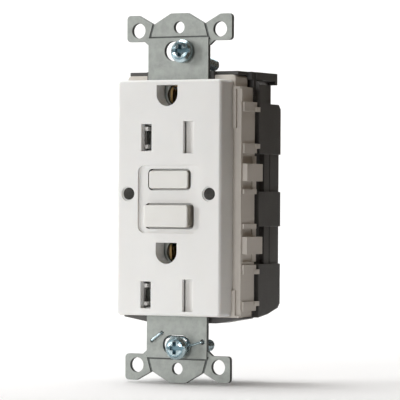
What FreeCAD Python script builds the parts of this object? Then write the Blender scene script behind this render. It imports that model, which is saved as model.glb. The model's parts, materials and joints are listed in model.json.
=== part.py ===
import FreeCAD, Part

import math
import os
import re

import Sketcher
from FreeCAD import Placement, Rotation, Vector

# Ground-fault receptacle on a metal mounting strap.
#
# Frame, in millimetres: X to the right seen from the front, Y towards the
# wall, Z up.  The origin is the middle of the pattern of holes in the strap,
# in the plane of the back of the strap's ears, so the face is at negative Y.

DIMENSIONS = {
    # Shared by many pieces: overlap of fused blocks, and play between fitted pieces
    "overlap": 0.5,
    "play": 0.05,
    # Mounting strap
    "strap_thick": 1.3,
    "strap_step": 0.5,
    "strap_half": 9.65,
    "strap_end": 52.4,
    "bend_z": 45.1,
    "bend_lap": 0.3,
    "belly_half": 11.3,
    "belly_z": 26.0,
    "belly_taper": 1.0,
    "strap_window_half": 9.1,
    "strap_window_low": -10.3,
    "strap_window_high": 9.3,
    "tab_flat": 2.7,
    "notch_x": 8.2,
    "notch_z": 49.3,
    "root_x": 11.2,
    "root_z": 43.2,
    "ear_half": 16.85,
    "ear_low": 44.5,
    "ear_high": 52.0,
    "ear_flat_x": 13.2,
    "ear_corner": 1.1,
    "ear_hole_x": 13.1,
    "ear_hole_z": 47.65,
    "ear_hole_r": 2.15,
    "plate_hole_z": 48.4,
    "plate_hole_r": 1.7,
    "box_screw_z": 41.65,
    "box_slot_long": 4.4,
    "box_slot_high": 2.75,
    "score_wide": 0.35,
    "score_deep": 0.25,
    "score_past": 0.5,
    "crease_wide": 0.45,
    "crease_deep": 0.35,
    # Face cover
    "face_front": -7.2,
    "face_thick": 2.0,
    "cover_half": 16.65,
    "cover_tall": 33.3,
    "cover_wall": 1.7,
    "cover_end_wall": 1.0,
    "cover_back": 0.2,
    "cover_round": 0.9,
    "cover_corner": 1.2,
    "strap_gap": 0.2,
    "tub_half": 9.8,
    "tub_tall": 9.6,
    "tub_z": -0.35,
    "tub_deep": 0.6,
    "tub_corner": 2.0,
    "mouth_corner": 1.3,
    "boss_x": 13.2,
    "boss_z": 29.0,
    "boss_r": 2.7,
    "screw_hole_r": 1.5,
    # Receptacle openings: blade slots and ground holes
    "blade_x": 6.35,
    "upper_z": 17.05,
    "lower_z": -27.45,
    "hot_slot_x": -7.15,
    "neutral_slot_x": 6.3,
    "slot_half": 1.6,
    "hot_tall": 3.8,
    "neutral_tall": 4.5,
    "lead_in": 0.12,
    "collar_back": -2.3,
    "collar_lap": 0.6,
    "collar_room": 0.4,
    "recess_front": -6.15,
    "recess_left": 4.2,
    "recess_right": 10.45,
    "recess_tall": 4.8,
    "ground_up": 12.2,
    "ground_x": -0.6,
    "ground_r": 3.35,
    "ground_flat": 2.6,
    "way_half": 2.25,
    "way_tall": 5.0,
    # Buttons
    "test_z": 5.15,
    "test_mouth_half": 6.8,
    "test_mouth_tall": 3.0,
    "test_half": 6.3,
    "test_tall": 2.55,
    "test_front": -7.3,
    "reset_z": -5.15,
    "reset_mouth_half": 7.85,
    "reset_mouth_tall": 3.6,
    "reset_half": 7.05,
    "reset_tall": 3.15,
    "reset_front": -8.9,
    "flange_front": -5.1,
    "flange_back": -4.2,
    "flange_lap": 0.6,
    "button_corner": 0.8,
    "button_round": 0.45,
    "test_coil_r": 1.95,
    "test_turns": 3.5,
    "reset_turns": 5,
    "test_stem_end": 4.6,
    "blade_half": 2.0,
    "blade_front": 5.6,
    "blade_thick": 0.25,
    "blade_low": 3.0,
    "blade_high": 8.0,
    "hair_wire": 0.1,
    "main_wire": 0.2,
    "well_deep": 1.5,
    "well_r": 2.9,
    "socket_deep": 1.0,
    "socket_r": 2.1,
    "socket_end": -5.5,
    "pin_deep": 2.0,
    "stem_r": 1.2,
    "stem_play": 0.08,
    # Indicator lenses
    "lens_x": 12.9,
    "lens_z": 1.15,
    "lens_r": 1.7,
    "lens_front": -6.9,
    "lens_head": 1.3,
    "lens_rim": 0.45,
    "lens_sink": 0.35,
    "pipe_r": 1.1,
    "pipe_end": 13.4,
    # Middle housing
    "deck_back": 1.8,
    "deck_gap": 0.2,
    "deck_way_half": 1.85,
    "middle_half": 18.3,
    "flange_half": 19.4,
    "flange_thick": 1.0,
    "rib_half": 19.9,
    "middle_back": 9.0,
    "middle_low": -33.6,
    "middle_high": 31.4,
    "middle_top": 34.8,
    "middle_top_half": 17.3,
    "middle_top_back": 7.5,
    "inner_half": 16.7,
    "inner_low": -31.6,
    "inner_high": 31.0,
    "tab_half": 20.9,
    "tab_half_left": 20.6,
    "tab_front": 0.75,
    "tab_back": 10.4,
    "skirt_half": 18.6,
    "skirt_back": 10.9,
    "panel_back": 8.2,
    "tab_tall": 2.45,
    "tab_room": 4.7,
    "tab_upper_z": 7.3,
    "tab_lower_z": -13.3,
    "panel_high": 27.2,
    "panel_low": -31.8,
    "hook_back": 9.9,
    "hook_tall": 2.7,
    "hook_off": 2.1,
    "hook_proud": 0.4,
    "hook_root": 7.4,
    "rib_tall": 1.4,
    "rib_front": 0.8,
    "rib_back": 8.6,
    "lip_wide": 0.8,
    "lip_proud": 0.35,
    "brace_wide": 1.2,
    "brace_proud": 0.8,
    "brace_upper_low": 19.8,
    "brace_lower_high": -25.9,
    "ledge_in": 0.2,
    "ledge_tall": 0.65,
    "wall_sink": 1.0,
    "fit_side": 0.15,
    # Rear housing
    "rear_half": 19.9,
    "rear_back": 23.8,
    "rear_wall": 1.8,
    "neck_half": 18.6,
    "neck_back": 10.1,
    "rear_shoulder": 27.0,
    "rear_top": 35.0,
    "rear_low": -34.0,
    "rear_low_back": -31.4,
    "rear_bevel": 1.3,
    "rear_knee": 16.1,
    "rear_rise": 1.0,
    "top_bevel": 2.6,
    "cavity_top": 9.8,
    "cavity_low": -29.9,
    "bay_back": 13.0,
    "socket_front": 14.8,
    "socket_low": 12.0,
    "socket_half": 16.2,
    "lid_low": 33.7,
    "lid_high": 35.9,
    "lid_half": 19.0,
    "lid_tip_half": 17.4,
    "lid_back": 23.3,
    "lid_front": 1.6,
    "catch_low": 32.6,
    "catch_thick": 1.5,
    "tongue_half": 10.7,
    "tongue_low": 33.4,
    "cheek_in": 16.4,
    "cheek_out": 17.6,
    "cheek_thin": 16.9,
    "cheek_step": 19.2,
    "waist_half": 19.3,
    "waist_front": 14.5,
    "window_floor": 17.9,
    "waist_room": 5.35,
    "ridge_y": 18.0,
    "ridge_wide": 0.35,
    "ridge_deep": 0.3,
    "sill_half": 19.0,
    "sill_keel": 11.0,
    "sill_low": -35.4,
    "sill_side": -34.0,
    "sill_front": 1.0,
    "screw_head_r": 2.6,
    "screw_head_tall": 2.0,
    "screw_sink": 2.6,
    "sink_gap": 0.3,
    "screw_r": 1.4,
    "screw_tip": -4.4,
    "bore_gap": 0.02,
    "drive_long": 1.5,
    "drive_wide": 0.35,
    "drive_deep": 1.1,
    # Plug-in wiring contacts at the back
    "pin_pitch": 5.0,
    "pin_half": 0.75,
    "pin_low": 17.5,
    "pin_high": 22.5,
    "pin_front": 12.2,
    "pin_back": 22.0,
    "strip": 0.8,
    # Female contacts
    "leaf": 0.6,
    "grip_gap": 0.8,
    "grip_tall": 4.0,
    "grip_front": 2.3,
    "grip_back": 7.4,
    "bar_front": 3.0,
    "bar_back": 6.0,
    "earth_gap": 2.5,
    "earth_tall": 1.7,
    "earth_back": 8.0,
    "earth_foot": 3.3,
    "earth_window": 2.45,
    "earth_room": 2.5,
    # Fixed and moving contacts
    "pad_x": 10.0,
    "pad_pitch": 3.7,
    "pad_z": -5.2,
    "pad_r": 1.1,
    "pad_tall": 0.6,
    "pad_front": 6.0,
    "arm_tall": 1.3,
    "arm_lap": 0.1,
    "post_x": 13.0,
    "post_thick": 0.7,
    "load_x": 15.8,
    "load_front": 4.5,
    "load_back": 7.5,
    "contact_gap": 1.25,
    "bridge_in": 7.2,
    "bridge_out": 12.5,
    "bridge_tall": 5.1,
    # Carriage, latch and reset pin
    "carriage_half": 6.6,
    "carriage_wing": 12.3,
    "carriage_tall": 4.4,
    "carriage_back": 14.4,
    "wing_thick": 1.15,
    "carriage_travel": 1.2,
    "bore_r": 1.28,
    "latch_front": 11.1,
    "latch_thick": 0.6,
    "latch_half": 4.6,
    "latch_high": -1.6,
    "latch_low": -9.0,
    "latch_toe": -11.0,
    "latch_heel": 1.2,
    "latch_travel": 1.3,
    "latch_play": 0.1,
    "latch_hole_r": 1.45,
    "latch_slot_half": 0.9,
    "neck_r": 0.75,
    "pin_gap": 0.25,
    "pin_margin": 0.15,
    "tip_long": 0.5,
    "reset_travel": 3.0,
    # Solenoid
    "coil_x": 4.5,
    "coil_y": 13.0,
    "coil_low": -27.3,
    "coil_high": -13.2,
    "coil_r": 3.1,
    "bobbin_r": 3.25,
    "bobbin_tube": 2.2,
    "bobbin_bore": 1.65,
    "bobbin_flange": 0.8,
    "plunger_r": 1.57,
    "plunger_head_r": 3.15,
    "plunger_head": 1.0,
    "plunger_low": -25.0,
    "plunger_gap": 0.15,
    "plunger_turns": 3.5,
    "yoke_half": 4.0,
    "yoke_front": 9.7,
    "yoke_back": 17.2,
    "yoke_thick": 0.7,
    # Sensing transformer
    "ring_x": -9.0,
    "ring_z": -19.8,
    "ring_out": 6.7,
    "ring_in": 3.2,
    "ring_front": 10.0,
    "ring_back": 16.8,
    "core_out": 6.1,
    "core_in": 3.9,
    "core_tall": 2.2,
    "core_wall": 0.7,
    "core_play": 0.1,
    # Circuit board
    "board_front": 17.6,
    "board_thick": 1.6,
    "notch_gap": 0.3,
    "board_half": 16.4,
    "board_low": -29.4,
    "board_high": 8.5,
    "cap_left": 10.4,
    "cap_wide": 5.6,
    "cap_front": 10.4,
    "cap_low": -18.9,
    "cap_tall": 7.1,
    "disc_z": -22.6,
    "disc_r": 3.2,
    "disc_left": 11.2,
    "disc_thick": 3.0,
    "can_x": 6.2,
    "can_z": 4.6,
    "can_r": 2.3,
    "can_tall": 5.0,
    "can_flat": 1.3,
    "chip_x": -5.5,
    "chip_z": 4.2,
    "chip_half": 2.7,
    "chip_tall": 1.9,
    "chip_thick": 1.6,
    "chip_gap": 0.15,
    "chip_foot": 0.5,
    "chip_pitch": 1.27,
    "leg_half": 0.2,
    "leg_long": 0.9,
    "lamp_r": 1.5,
    "lamp_rim": 0.25,
    "lamp_rim_tall": 0.8,
    "lamp_gap": 0.3,
    "resistor_x": -12.0,
    "resistor_z": -5.0,
    "resistor_r": 0.95,
    "resistor_half": 3.0,
    "resistor_pitch": 3.5,
    "diode_x": 3.0,
    "diode_r": 0.75,
    "diode_half": 2.0,
    "diode_pitch": 3.0,
    # Line leads
    "lead_r": 0.8,
    "lead_y": 8.6,
    "lead_x": 14.9,
    "lead_bend": 1.6,
    "lead_gap": 1.2,
    # Tamper shutters
    "shutter_tall": 4.7,
    "shutter_left": -10.2,
    "shutter_edge": -7.35,
    "shutter_right": 7.6,
    "shutter_front": -3.5,
    "shutter_back": -2.45,
    "fork_half": 3.5,
    "shutter_turns": 7,
    "wedge_left": 4.5,
    "wedge_low": -5.3,
    "wedge_front": -6.0,
    "wedge_tall": 4.6,
    "window_left": 2.4,
    "window_right": 4.4,
    "window_tall": 4.0,
    "pocket_left": -4.3,
    "pocket_right": 1.25,
    "pocket_tall": 0.7,
    "post_left": 0.4,
    "post_right": 1.15,
    "post_front": -3.4,
    "tray_front": -2.35,
    "tray_back": -1.85,
    "tray_left": -10.4,
    "tray_right": 10.2,
    "tray_tall": 4.75,
    "tray_way_half": 1.5,
    "peg_left": -8.9,
    "peg_right": -7.5,
    "peg_front": -5.1,
    "peg_low": 2.0,
    "peg_high": 3.1,
    # Mounting screws, 6-32
    "mount_r": 1.75,
    "mount_head_r": 3.25,
    "mount_head": 2.1,
    "mount_rim": 0.35,
    "mount_dome": 0.8,
    "mount_crown": 0.15,
    "mount_long": 20.0,
    "mount_point": 0.8,
    "mount_taper": 0.6,
    "mount_tilt": 9.0,
    "upper_screw_x": 1.95,
    "upper_screw_y": -2.5,
    "upper_screw_z": 41.3,
    "lower_screw_x": 1.4,
    "lower_screw_y": -3.6,
    "lower_screw_z": -42.4,
    "recess_half": 1.75,
    "recess_wide": 0.6,
    "recess_deep": 1.3,
    "washer_r": 3.7,
    "washer_hole": 2.15,
    "washer_thick": 0.45,
    "washer_drop": 0.35,
    # Self-grounding wire clip
    "clip_r": 0.35,
    "clip_bend": 0.5,
    "clip_stand": 0.15,
    "clip_tail": 1.2,
    "clip_hole_r": 0.55,
    "clip_far_r": 0.75,
    "clip_inner_x": -4.7,
    "clip_inner_z": -38.3,
    "clip_outer_x": -7.9,
    "clip_outer_z": -40.6,
    "clip_far_x": 8.3,
    "clip_knee_x": 3.85,
    "clip_knee_z": -41.9,
    # Ground link from the strap to the middle wiring contact
    "jumper_z": 23.0,
    "jumper_half": 2.0,
    "jumper_room": 0.5,
}

DOC = FreeCAD.newDocument("ground_fault_receptacle")
SHEET = DOC.addObject("Spreadsheet::Sheet", "dims")
NODES = []


def fill_sheet():
    """One row for each driving dimension: its name, and its value with the name as alias."""
    for row, (name, value) in enumerate(DIMENSIONS.items(), start=1):
        SHEET.set(f"A{row}", name)
        SHEET.set(f"B{row}", str(value))
        SHEET.setAlias(f"B{row}", name)
    DOC.recompute()


def full(expression):
    """The expression with every dimension's name made a reference to the sheet."""

    def refer(word):
        name = word.group()
        return f"dims.{name}" if name in DIMENSIONS else name

    return re.sub(r"[a-z][a-z_]*", refer, str(expression))


def size(expression):
    """The expression's value in millimetres, read from the sheet."""
    return float(SHEET.evalExpression(full(expression)))


# ---- Part primitives bound to the sheet -----------------------------------------


def block(name, x, y, z):
    """Box between a low and a high expression along each axis."""
    box = DOC.addObject("Part::Box", name)
    for side, axis, (low, high) in zip(("Length", "Width", "Height"), "xyz", (x, y, z)):
        box.setExpression(side, full(f"({high}) - ({low})"))
        box.setExpression(f"Placement.Base.{axis}", full(low))
    return box


TURNS = {
    "x": Rotation(Vector(0, 1, 0), 90),
    "y": Rotation(Vector(1, 0, 0), -90),
    "z": Rotation(),
}


def rod(name, axis, centre, radius, low, high):
    """Cylinder along an axis; centre gives the other two coordinates in order."""
    cylinder = DOC.addObject("Part::Cylinder", name)
    cylinder.setExpression("Radius", full(radius))
    cylinder.setExpression("Height", full(f"({high}) - ({low})"))
    place_along(cylinder, axis, centre, low)
    return cylinder


def place_along(solid, axis, centre, low):
    """Turn a primitive's own Z onto the axis and bind its base point."""
    solid.Placement = Placement(Vector(), TURNS[axis])
    others = [other for other in "xyz" if other != axis]
    for other, value in zip(others, centre):
        solid.setExpression(f"Placement.Base.{other}", full(value))
    solid.setExpression(f"Placement.Base.{axis}", full(low))


def outward(side, low, high):
    """Pair of expressions along X, mirrored on the negative side."""
    return (low, high) if side == "1" else (f"-({high})", f"-({low})")


def fuse(name, *parts):
    """One solid from parts that overlap or touch."""
    if len(parts) == 1:
        return parts[0]
    union = DOC.addObject("Part::MultiFuse", name)
    union.Shapes = list(parts)
    union.Refine = True
    return union


def cut(name, base, *tools):
    """The base without the tools."""
    result = DOC.addObject("Part::Cut", name)
    result.Base = base
    result.Tool = fuse(f"{name}_tools", *tools)
    result.Refine = True
    return result


def group(name, *parts):
    """Several separate solids kept as one sub-part."""
    compound = DOC.addObject("Part::Compound", name)
    compound.Links = list(parts)
    return compound


# ---- PartDesign bodies ---------------------------------------------------------


def new_body(name):
    return DOC.addObject("PartDesign::Body", name)


def sketch(body, role, level):
    """Sketch on one of the body's own origin planes, moved to a level along its axis.

    The XZ plane's normal points to negative Y, so its offset changes sign.
    """
    drawing = body.newObject("Sketcher::SketchObject", f"{body.Name}_{role}")
    plane = next(f for f in body.Origin.OriginFeatures if f.Role == role)
    drawing.AttachmentSupport = [(plane, "")]
    drawing.MapMode = "FlatFace"
    sign = "-" if role == "XZ_Plane" else ""
    drawing.setExpression("AttachmentOffset.Base.z", full(f"{sign}({level})"))
    return drawing


def pin_point(drawing, geometry, position, point):
    """Hold one point of the sketch at a pair of expressions."""
    for kind, expression in zip(("DistanceX", "DistanceY"), point):
        rule = Sketcher.Constraint(kind, -1, 1, geometry, position, size(expression))
        index = drawing.addConstraint(rule)
        drawing.setExpression(f"Constraints[{index}]", full(expression))


def polygon(drawing, points):
    """Closed outline whose corners are pinned at pairs of expressions."""
    places = [Vector(size(u), size(v), 0) for u, v in points]
    first = drawing.GeometryCount
    count = len(points)
    for start, end in zip(places, places[1:] + places[:1]):
        drawing.addGeometry(Part.LineSegment(start, end), False)
    for index in range(count):
        following = first + (index + 1) % count
        drawing.addConstraint(Sketcher.Constraint("Coincident", first + index, 2, following, 1))
    for index, point in enumerate(points):
        pin_point(drawing, first + index, 1, point)


def rectangle(drawing, u, v):
    """Closed rectangle between expression pairs."""
    polygon(drawing, corners(u, v))


def circle(drawing, centre, radius):
    """Circle with its centre and radius bound to expressions."""
    middle = Vector(size(centre[0]), size(centre[1]), 0)
    index = drawing.addGeometry(Part.Circle(middle, Vector(0, 0, 1), size(radius)), False)
    pin_point(drawing, index, 3, centre)
    rule = drawing.addConstraint(Sketcher.Constraint("Radius", index, size(radius)))
    drawing.setExpression(f"Constraints[{rule}]", full(radius))


def add_feature(body, kind, drawing, length, **settings):
    """Pad or Pocket of a sketch, checked to add or remove material."""
    DOC.recompute()
    before = body.Shape.Volume if body.Tip else 0.0
    feature = body.newObject(f"PartDesign::{kind}", f"{body.Name}_{kind}")
    feature.Profile = drawing
    feature.setExpression("Length", full(length))
    for name, value in settings.items():
        setattr(feature, name, value)
    DOC.recompute()
    change = feature.Shape.Volume - before
    wanted = 1 if kind == "Pad" else -1
    if change * wanted <= 0:
        raise ValueError(f"{feature.Name} changes the volume by {change}")
    return feature


def pad(body, drawing, length, **settings):
    return add_feature(body, "Pad", drawing, length, **settings)


def pocket(body, drawing, length, **settings):
    return add_feature(body, "Pocket", drawing, length, **settings)


def edges_where(shape, test):
    """Names of the edges whose end points all pass the test."""
    names = []
    for number, edge in enumerate(shape.Edges, start=1):
        ends = [vertex.Point for vertex in edge.Vertexes]
        if len(ends) == 2 and test(*ends):
            names.append(f"Edge{number}")
    return names


def dress(body, kind, amount, test):
    """Fillet or Chamfer on the edges of the body's tip that pass the test."""
    DOC.recompute()
    base = body.Tip
    names = edges_where(base.Shape, test)
    if not names:
        raise ValueError(f"{body.Name}: no edge to dress")
    feature = body.newObject(f"PartDesign::{kind}", f"{body.Name}_{kind}")
    feature.Base = (base, names)
    feature.setExpression("Radius" if kind == "Fillet" else "Size", full(amount))
    DOC.recompute()
    return feature


def close(first, second, tolerance=1e-4):
    return abs(first - second) < tolerance


def along_y(a, b):
    return close(a.x, b.x) and close(a.z, b.z)


def slab(name, points, front, back):
    """Body with a flat outline in XZ, from front to back along Y."""
    body = new_body(name)
    drawing = sketch(body, "XZ_Plane", back)
    polygon(drawing, points)
    pad(body, drawing, f"({back}) - ({front})")
    return body


def add_slabs(body, outlines, front, back):
    """Add one or more outlines that don't meet, from front to back."""
    drawing = sketch(body, "XZ_Plane", back)
    for points in outlines:
        polygon(drawing, points)
    pad(body, drawing, f"({back}) - ({front})")


def add_slab(body, points, front, back):
    add_slabs(body, [points], front, back)


def take_slabs(body, outlines, front, back):
    """Cut one or more outlines that don't meet, from front to back."""
    drawing = sketch(body, "XZ_Plane", front)
    for points in outlines:
        polygon(drawing, points)
    pocket(body, drawing, f"({back}) - ({front})")


def take_slab(body, points, front, back):
    take_slabs(body, [points], front, back)


def corners(u, v):
    """Corners of a rectangle between two pairs of expressions."""
    return [(u[0], v[0]), (u[1], v[0]), (u[1], v[1]), (u[0], v[1])]


def around(middle, half):
    """Pair of expressions at equal distances from a middle."""
    return (f"{middle} - ({half})", f"{middle} + ({half})")


def take_holes(body, holes, front, back):
    """Cut round holes, each a centre and a radius, from front to back."""
    drawing = sketch(body, "XZ_Plane", front)
    for centre, radius in holes:
        circle(drawing, centre, radius)
    pocket(body, drawing, f"({back}) - ({front})")


def mirrored(points):
    """The outline on the other side of X = 0, in the same turning sense."""
    return [(f"-({u})", v) for u, v in reversed(points)]


def flipped(points):
    """The outline on the other side of Z = 0, in the same turning sense."""
    return [(u, f"-({v})") for u, v in reversed(points)]


def turned(name, points, base, direction):
    """Body of revolution about Z from an outline of (radius, height), then placed.

    The placement turns its Z axis onto the direction.
    """
    body = new_body(name)
    drawing = sketch(body, "XZ_Plane", "0")
    polygon(drawing, points)
    DOC.recompute()
    feature = body.newObject("PartDesign::Revolution", f"{name}_turn")
    feature.Profile = drawing
    feature.ReferenceAxis = (drawing, ["V_Axis"])
    feature.Angle = 360
    DOC.recompute()
    body.Placement = Placement(base, Rotation(Vector(0, 0, 1), direction))
    return body


# ---- Shapes made with Part's own functions: bent wires and coil springs ---------


def feature(name, shape, place=Placement()):
    """Part::Feature holding a shape made in code."""
    item = DOC.addObject("Part::Feature", name)
    item.Shape = shape
    item.Placement = place
    return item


def bent_wire(points, radius, bend):
    """Round wire along straight runs joined by tangent arcs of one bend radius."""
    places = [Vector(*[size(value) for value in point]) for point in points]
    start = places[0]
    edges = []
    for before, corner, after in zip(places, places[1:], places[2:]):
        inward = (before - corner).normalize()
        outward = (after - corner).normalize()
        half = inward.getAngle(outward) / 2
        reach = size(bend) / math.tan(half)
        first = corner + inward * reach
        last = corner + outward * reach
        bisector = (inward + outward).normalize()
        centre = corner + bisector * (size(bend) / math.sin(half))
        middle = centre - bisector * size(bend)
        edges.append(Part.LineSegment(start, first).toShape())
        edges.append(Part.Arc(first, middle, last).toShape())
        start = last
    edges.append(Part.LineSegment(start, places[-1]).toShape())
    path = Part.Wire(edges)
    direction = places[1] - places[0]
    section = Part.Wire(Part.makeCircle(size(radius), places[0], direction))
    return path.makePipeShell([section], True, False, 0)


def coil(name, base, direction, length, radius, wire, turns):
    """Coil spring from a base point along a direction; radius is the coil's outside."""
    thick = size(wire)
    reach = size(length) - 2 * thick
    mean = size(radius) - thick
    path = Part.makeHelix(reach / size(turns), reach, mean)
    section = Part.Wire(Part.makeCircle(thick, Vector(mean, 0, 0), Vector(0, 1, 0)))
    spring = path.makePipeShell([section], True, True)
    start = Vector(*[size(value) for value in base]) + Vector(*direction) * thick
    return feature(name, spring, Placement(start, Rotation(Vector(0, 0, 1), Vector(*direction))))


def node(item):
    """Note a finished sub-part; its name is its label and its file's name."""
    item.Label = item.Name
    NODES.append(item)
    return item


# ---- Mounting strap -------------------------------------------------------------

STRAP_FRONT = "-strap_thick - strap_step"
STRAP_BACK = "-strap_step"
SLOTS = ("upper", "lower")
SIDES = {"hot": "-1", "neutral": "1"}
ENDS = ("1", "-1")
SCORE_BACK = "-strap_thick + score_deep"
# Far enough on both sides to cut right through any piece.
THROUGH = ("-40", "40")


def strap_end_outline():
    """Centre tab and both ears of one end, upper end, turning counter-clockwise."""
    right = [
        ("strap_half", "bend_z - bend_lap"),
        ("strap_half", "root_z"),
        ("root_x", "ear_low"),
        ("ear_half", "ear_low"),
        ("ear_half", "ear_high"),
        ("ear_flat_x", "ear_high"),
        ("notch_x", "notch_z"),
        ("tab_flat", "strap_end"),
    ]
    return right + mirrored(right)


def make_strap():
    """Plated steel strap: a belly inside the cover, stepped ends, ears and holes."""
    belly = [
        ("strap_half", "-bend_z - bend_lap"),
        ("strap_half", "-belly_z - belly_taper"),
        ("belly_half", "-belly_z"),
        ("belly_half", "belly_z"),
        ("strap_half", "belly_z + belly_taper"),
        ("strap_half", "bend_z + bend_lap"),
    ]
    body = slab("mounting_strap", belly + mirrored(belly), STRAP_FRONT, STRAP_BACK)
    add_slab(body, strap_end_outline(), "-strap_thick", "0")
    add_slab(body, flipped(strap_end_outline()), "-strap_thick", "0")

    def ear_corner(a, b):
        return along_y(a, b) and close(abs(a.x), size("ear_half"))

    dress(body, "Fillet", "ear_corner", ear_corner)
    window_z = ("strap_window_low", "strap_window_high")
    windows = [corners(("-strap_window_half", "strap_window_half"), window_z)]
    for outlet in SLOTS:
        for side in SIDES.values():
            wide = around(f"{side} * blade_x", "way_half")
            windows.append(corners(wide, around(f"{outlet}_z", "way_tall")))
    take_slabs(body, windows, STRAP_FRONT, STRAP_BACK)
    holes = [((x, z), radius) for x, z, radius in CLIP_HOLES]
    holes += [(("0", f"{outlet}_z + ground_up"), "ground_r") for outlet in SLOTS]
    take_holes(body, holes, STRAP_FRONT, STRAP_BACK)
    plate_holes = [(("0", f"{end} * plate_hole_z"), "plate_hole_r") for end in ENDS]
    ear_holes = [
        ((f"{side} * ear_hole_x", f"{end} * ear_hole_z"), "ear_hole_r")
        for side in ENDS
        for end in ENDS
    ]
    take_holes(body, plate_holes + ear_holes, "-strap_thick", "0")
    slots = [
        corners(("-box_slot_long", "box_slot_long"), around(f"{end} * box_screw_z", "box_slot_high"))
        for end in ENDS
    ]
    take_slabs(body, slots, STRAP_FRONT, STRAP_BACK)

    def slot_corner(a, b):
        off_middle = abs(abs(a.z) - size("box_screw_z"))
        at_end = close(abs(a.x), size("box_slot_long"))
        return along_y(a, b) and at_end and close(off_middle, size("box_slot_high"))

    dress(body, "Fillet", "box_slot_high - 0.01", slot_corner)
    scores = [score(side, end) for side in ENDS for end in ENDS]
    take_slabs(body, scores, "-strap_thick", SCORE_BACK)
    crease_x = around("0", "strap_half - score_wide")
    creases = []
    for end in ENDS:
        tall = sorted(
            (f"{end} * (bend_z + bend_lap)", f"{end} * (bend_z + bend_lap + crease_wide)"), key=size
        )
        creases.append(corners(crease_x, tall))
    take_slabs(body, creases, "-strap_thick", "-strap_thick + crease_deep")
    return node(body)


def score(side, end):
    """Outline of the shallow groove across an ear's root, where it can be snapped off."""
    return [
        (f"{side} * (notch_x - score_wide)", f"{end} * (notch_z + score_past)"),
        (f"{side} * (notch_x + score_wide)", f"{end} * (notch_z + score_past)"),
        (f"{side} * (strap_half + score_wide)", f"{end} * (bend_z - bend_lap)"),
        (f"{side} * (strap_half - score_wide)", f"{end} * (bend_z - bend_lap)"),
    ]


# Holes that the self-grounding wire clip passes through: x, z, radius.
CLIP_HOLES = (
    ("clip_inner_x", "clip_inner_z", "clip_hole_r"),
    ("clip_outer_x", "clip_outer_z", "clip_hole_r"),
    ("clip_far_x", "clip_outer_z", "clip_far_r"),
)

# The wire's run behind the strap, bowed up over the screw: x and z, set by hand.
CLIP_RUN = (("-3.0", "-39.4"), ("1.6", "-39.5"), ("3.8", "-41.1"))


def make_clip():
    """Springy wire that is threaded through the strap and presses on the screw."""
    front = f"{STRAP_FRONT} - clip_r - play"
    behind = f"{STRAP_BACK} + clip_r + clip_stand"
    inner, outer, far = CLIP_HOLES
    points = [
        (inner[0], f"{behind} + clip_tail", inner[1]),
        (inner[0], front, inner[1]),
        (outer[0], front, outer[1]),
        (outer[0], behind, outer[1]),
    ]
    points += [(x, behind, z) for x, z in CLIP_RUN]
    points += [
        ("clip_knee_x", front, "clip_knee_z"),
        (far[0], front, far[1]),
        (far[0], f"{behind} + clip_tail - clip_r", far[1]),
    ]
    return node(feature("self_grounding_clip", bent_wire(points, "clip_r", "clip_bend")))


def mounting_screw(place, tilt):
    """6-32 machine screw with a pan head and a cross-and-slot drive, hanging in its slot."""
    head = [
        ("0", "0"),
        ("mount_head_r - mount_rim", "0"),
        ("mount_head_r", "mount_rim"),
        ("mount_head_r", "mount_head - mount_dome"),
        ("mount_head_r - mount_dome", "mount_head - mount_crown"),
        ("mount_head_r / 2", "mount_head"),
        ("0", "mount_head"),
    ]
    shank = [
        ("mount_r", "0"),
        ("mount_r", "-mount_long + mount_point"),
        ("mount_r - mount_taper", "-mount_long"),
    ]
    outline = [("0", "mount_head"), ("0", "-mount_long")] + shank[::-1] + head[1:-1]
    direction = Vector(0, -math.cos(tilt), math.sin(tilt))
    base = Vector(*[size(f"{place}_screw_{axis}") for axis in "xyz"])
    name = f"mounting_screw_{place}"
    body = turned(name, outline, base, direction)
    for wide, tall in (("recess_half", "recess_wide"), ("recess_wide", "recess_half")):
        cross = sketch(body, "XY_Plane", "mount_head")
        rectangle(cross, (f"-{wide}", wide), (f"-{tall}", tall))
        pocket(body, cross, "recess_deep")
    slot = sketch(body, "XY_Plane", "mount_head")
    rectangle(slot, ("-mount_head_r", "mount_head_r"), ("-recess_wide", "recess_wide"))
    pocket(body, slot, "recess_deep / 2")
    return node(body)


def make_retainer():
    """Fibre washer that keeps the upper screw in its slot; the wire clip keeps the lower."""
    centre = ("upper_screw_x", "upper_screw_z - washer_drop")
    back = f"{STRAP_BACK} + washer_thick"
    disc = rod("retainer_disc", "y", centre, "washer_r", STRAP_BACK, back)
    hole = rod("retainer_hole", "y", centre, "washer_hole", *THROUGH)
    return node(cut("screw_retainer", disc, hole))


# ---- Face cover -----------------------------------------------------------------


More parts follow.
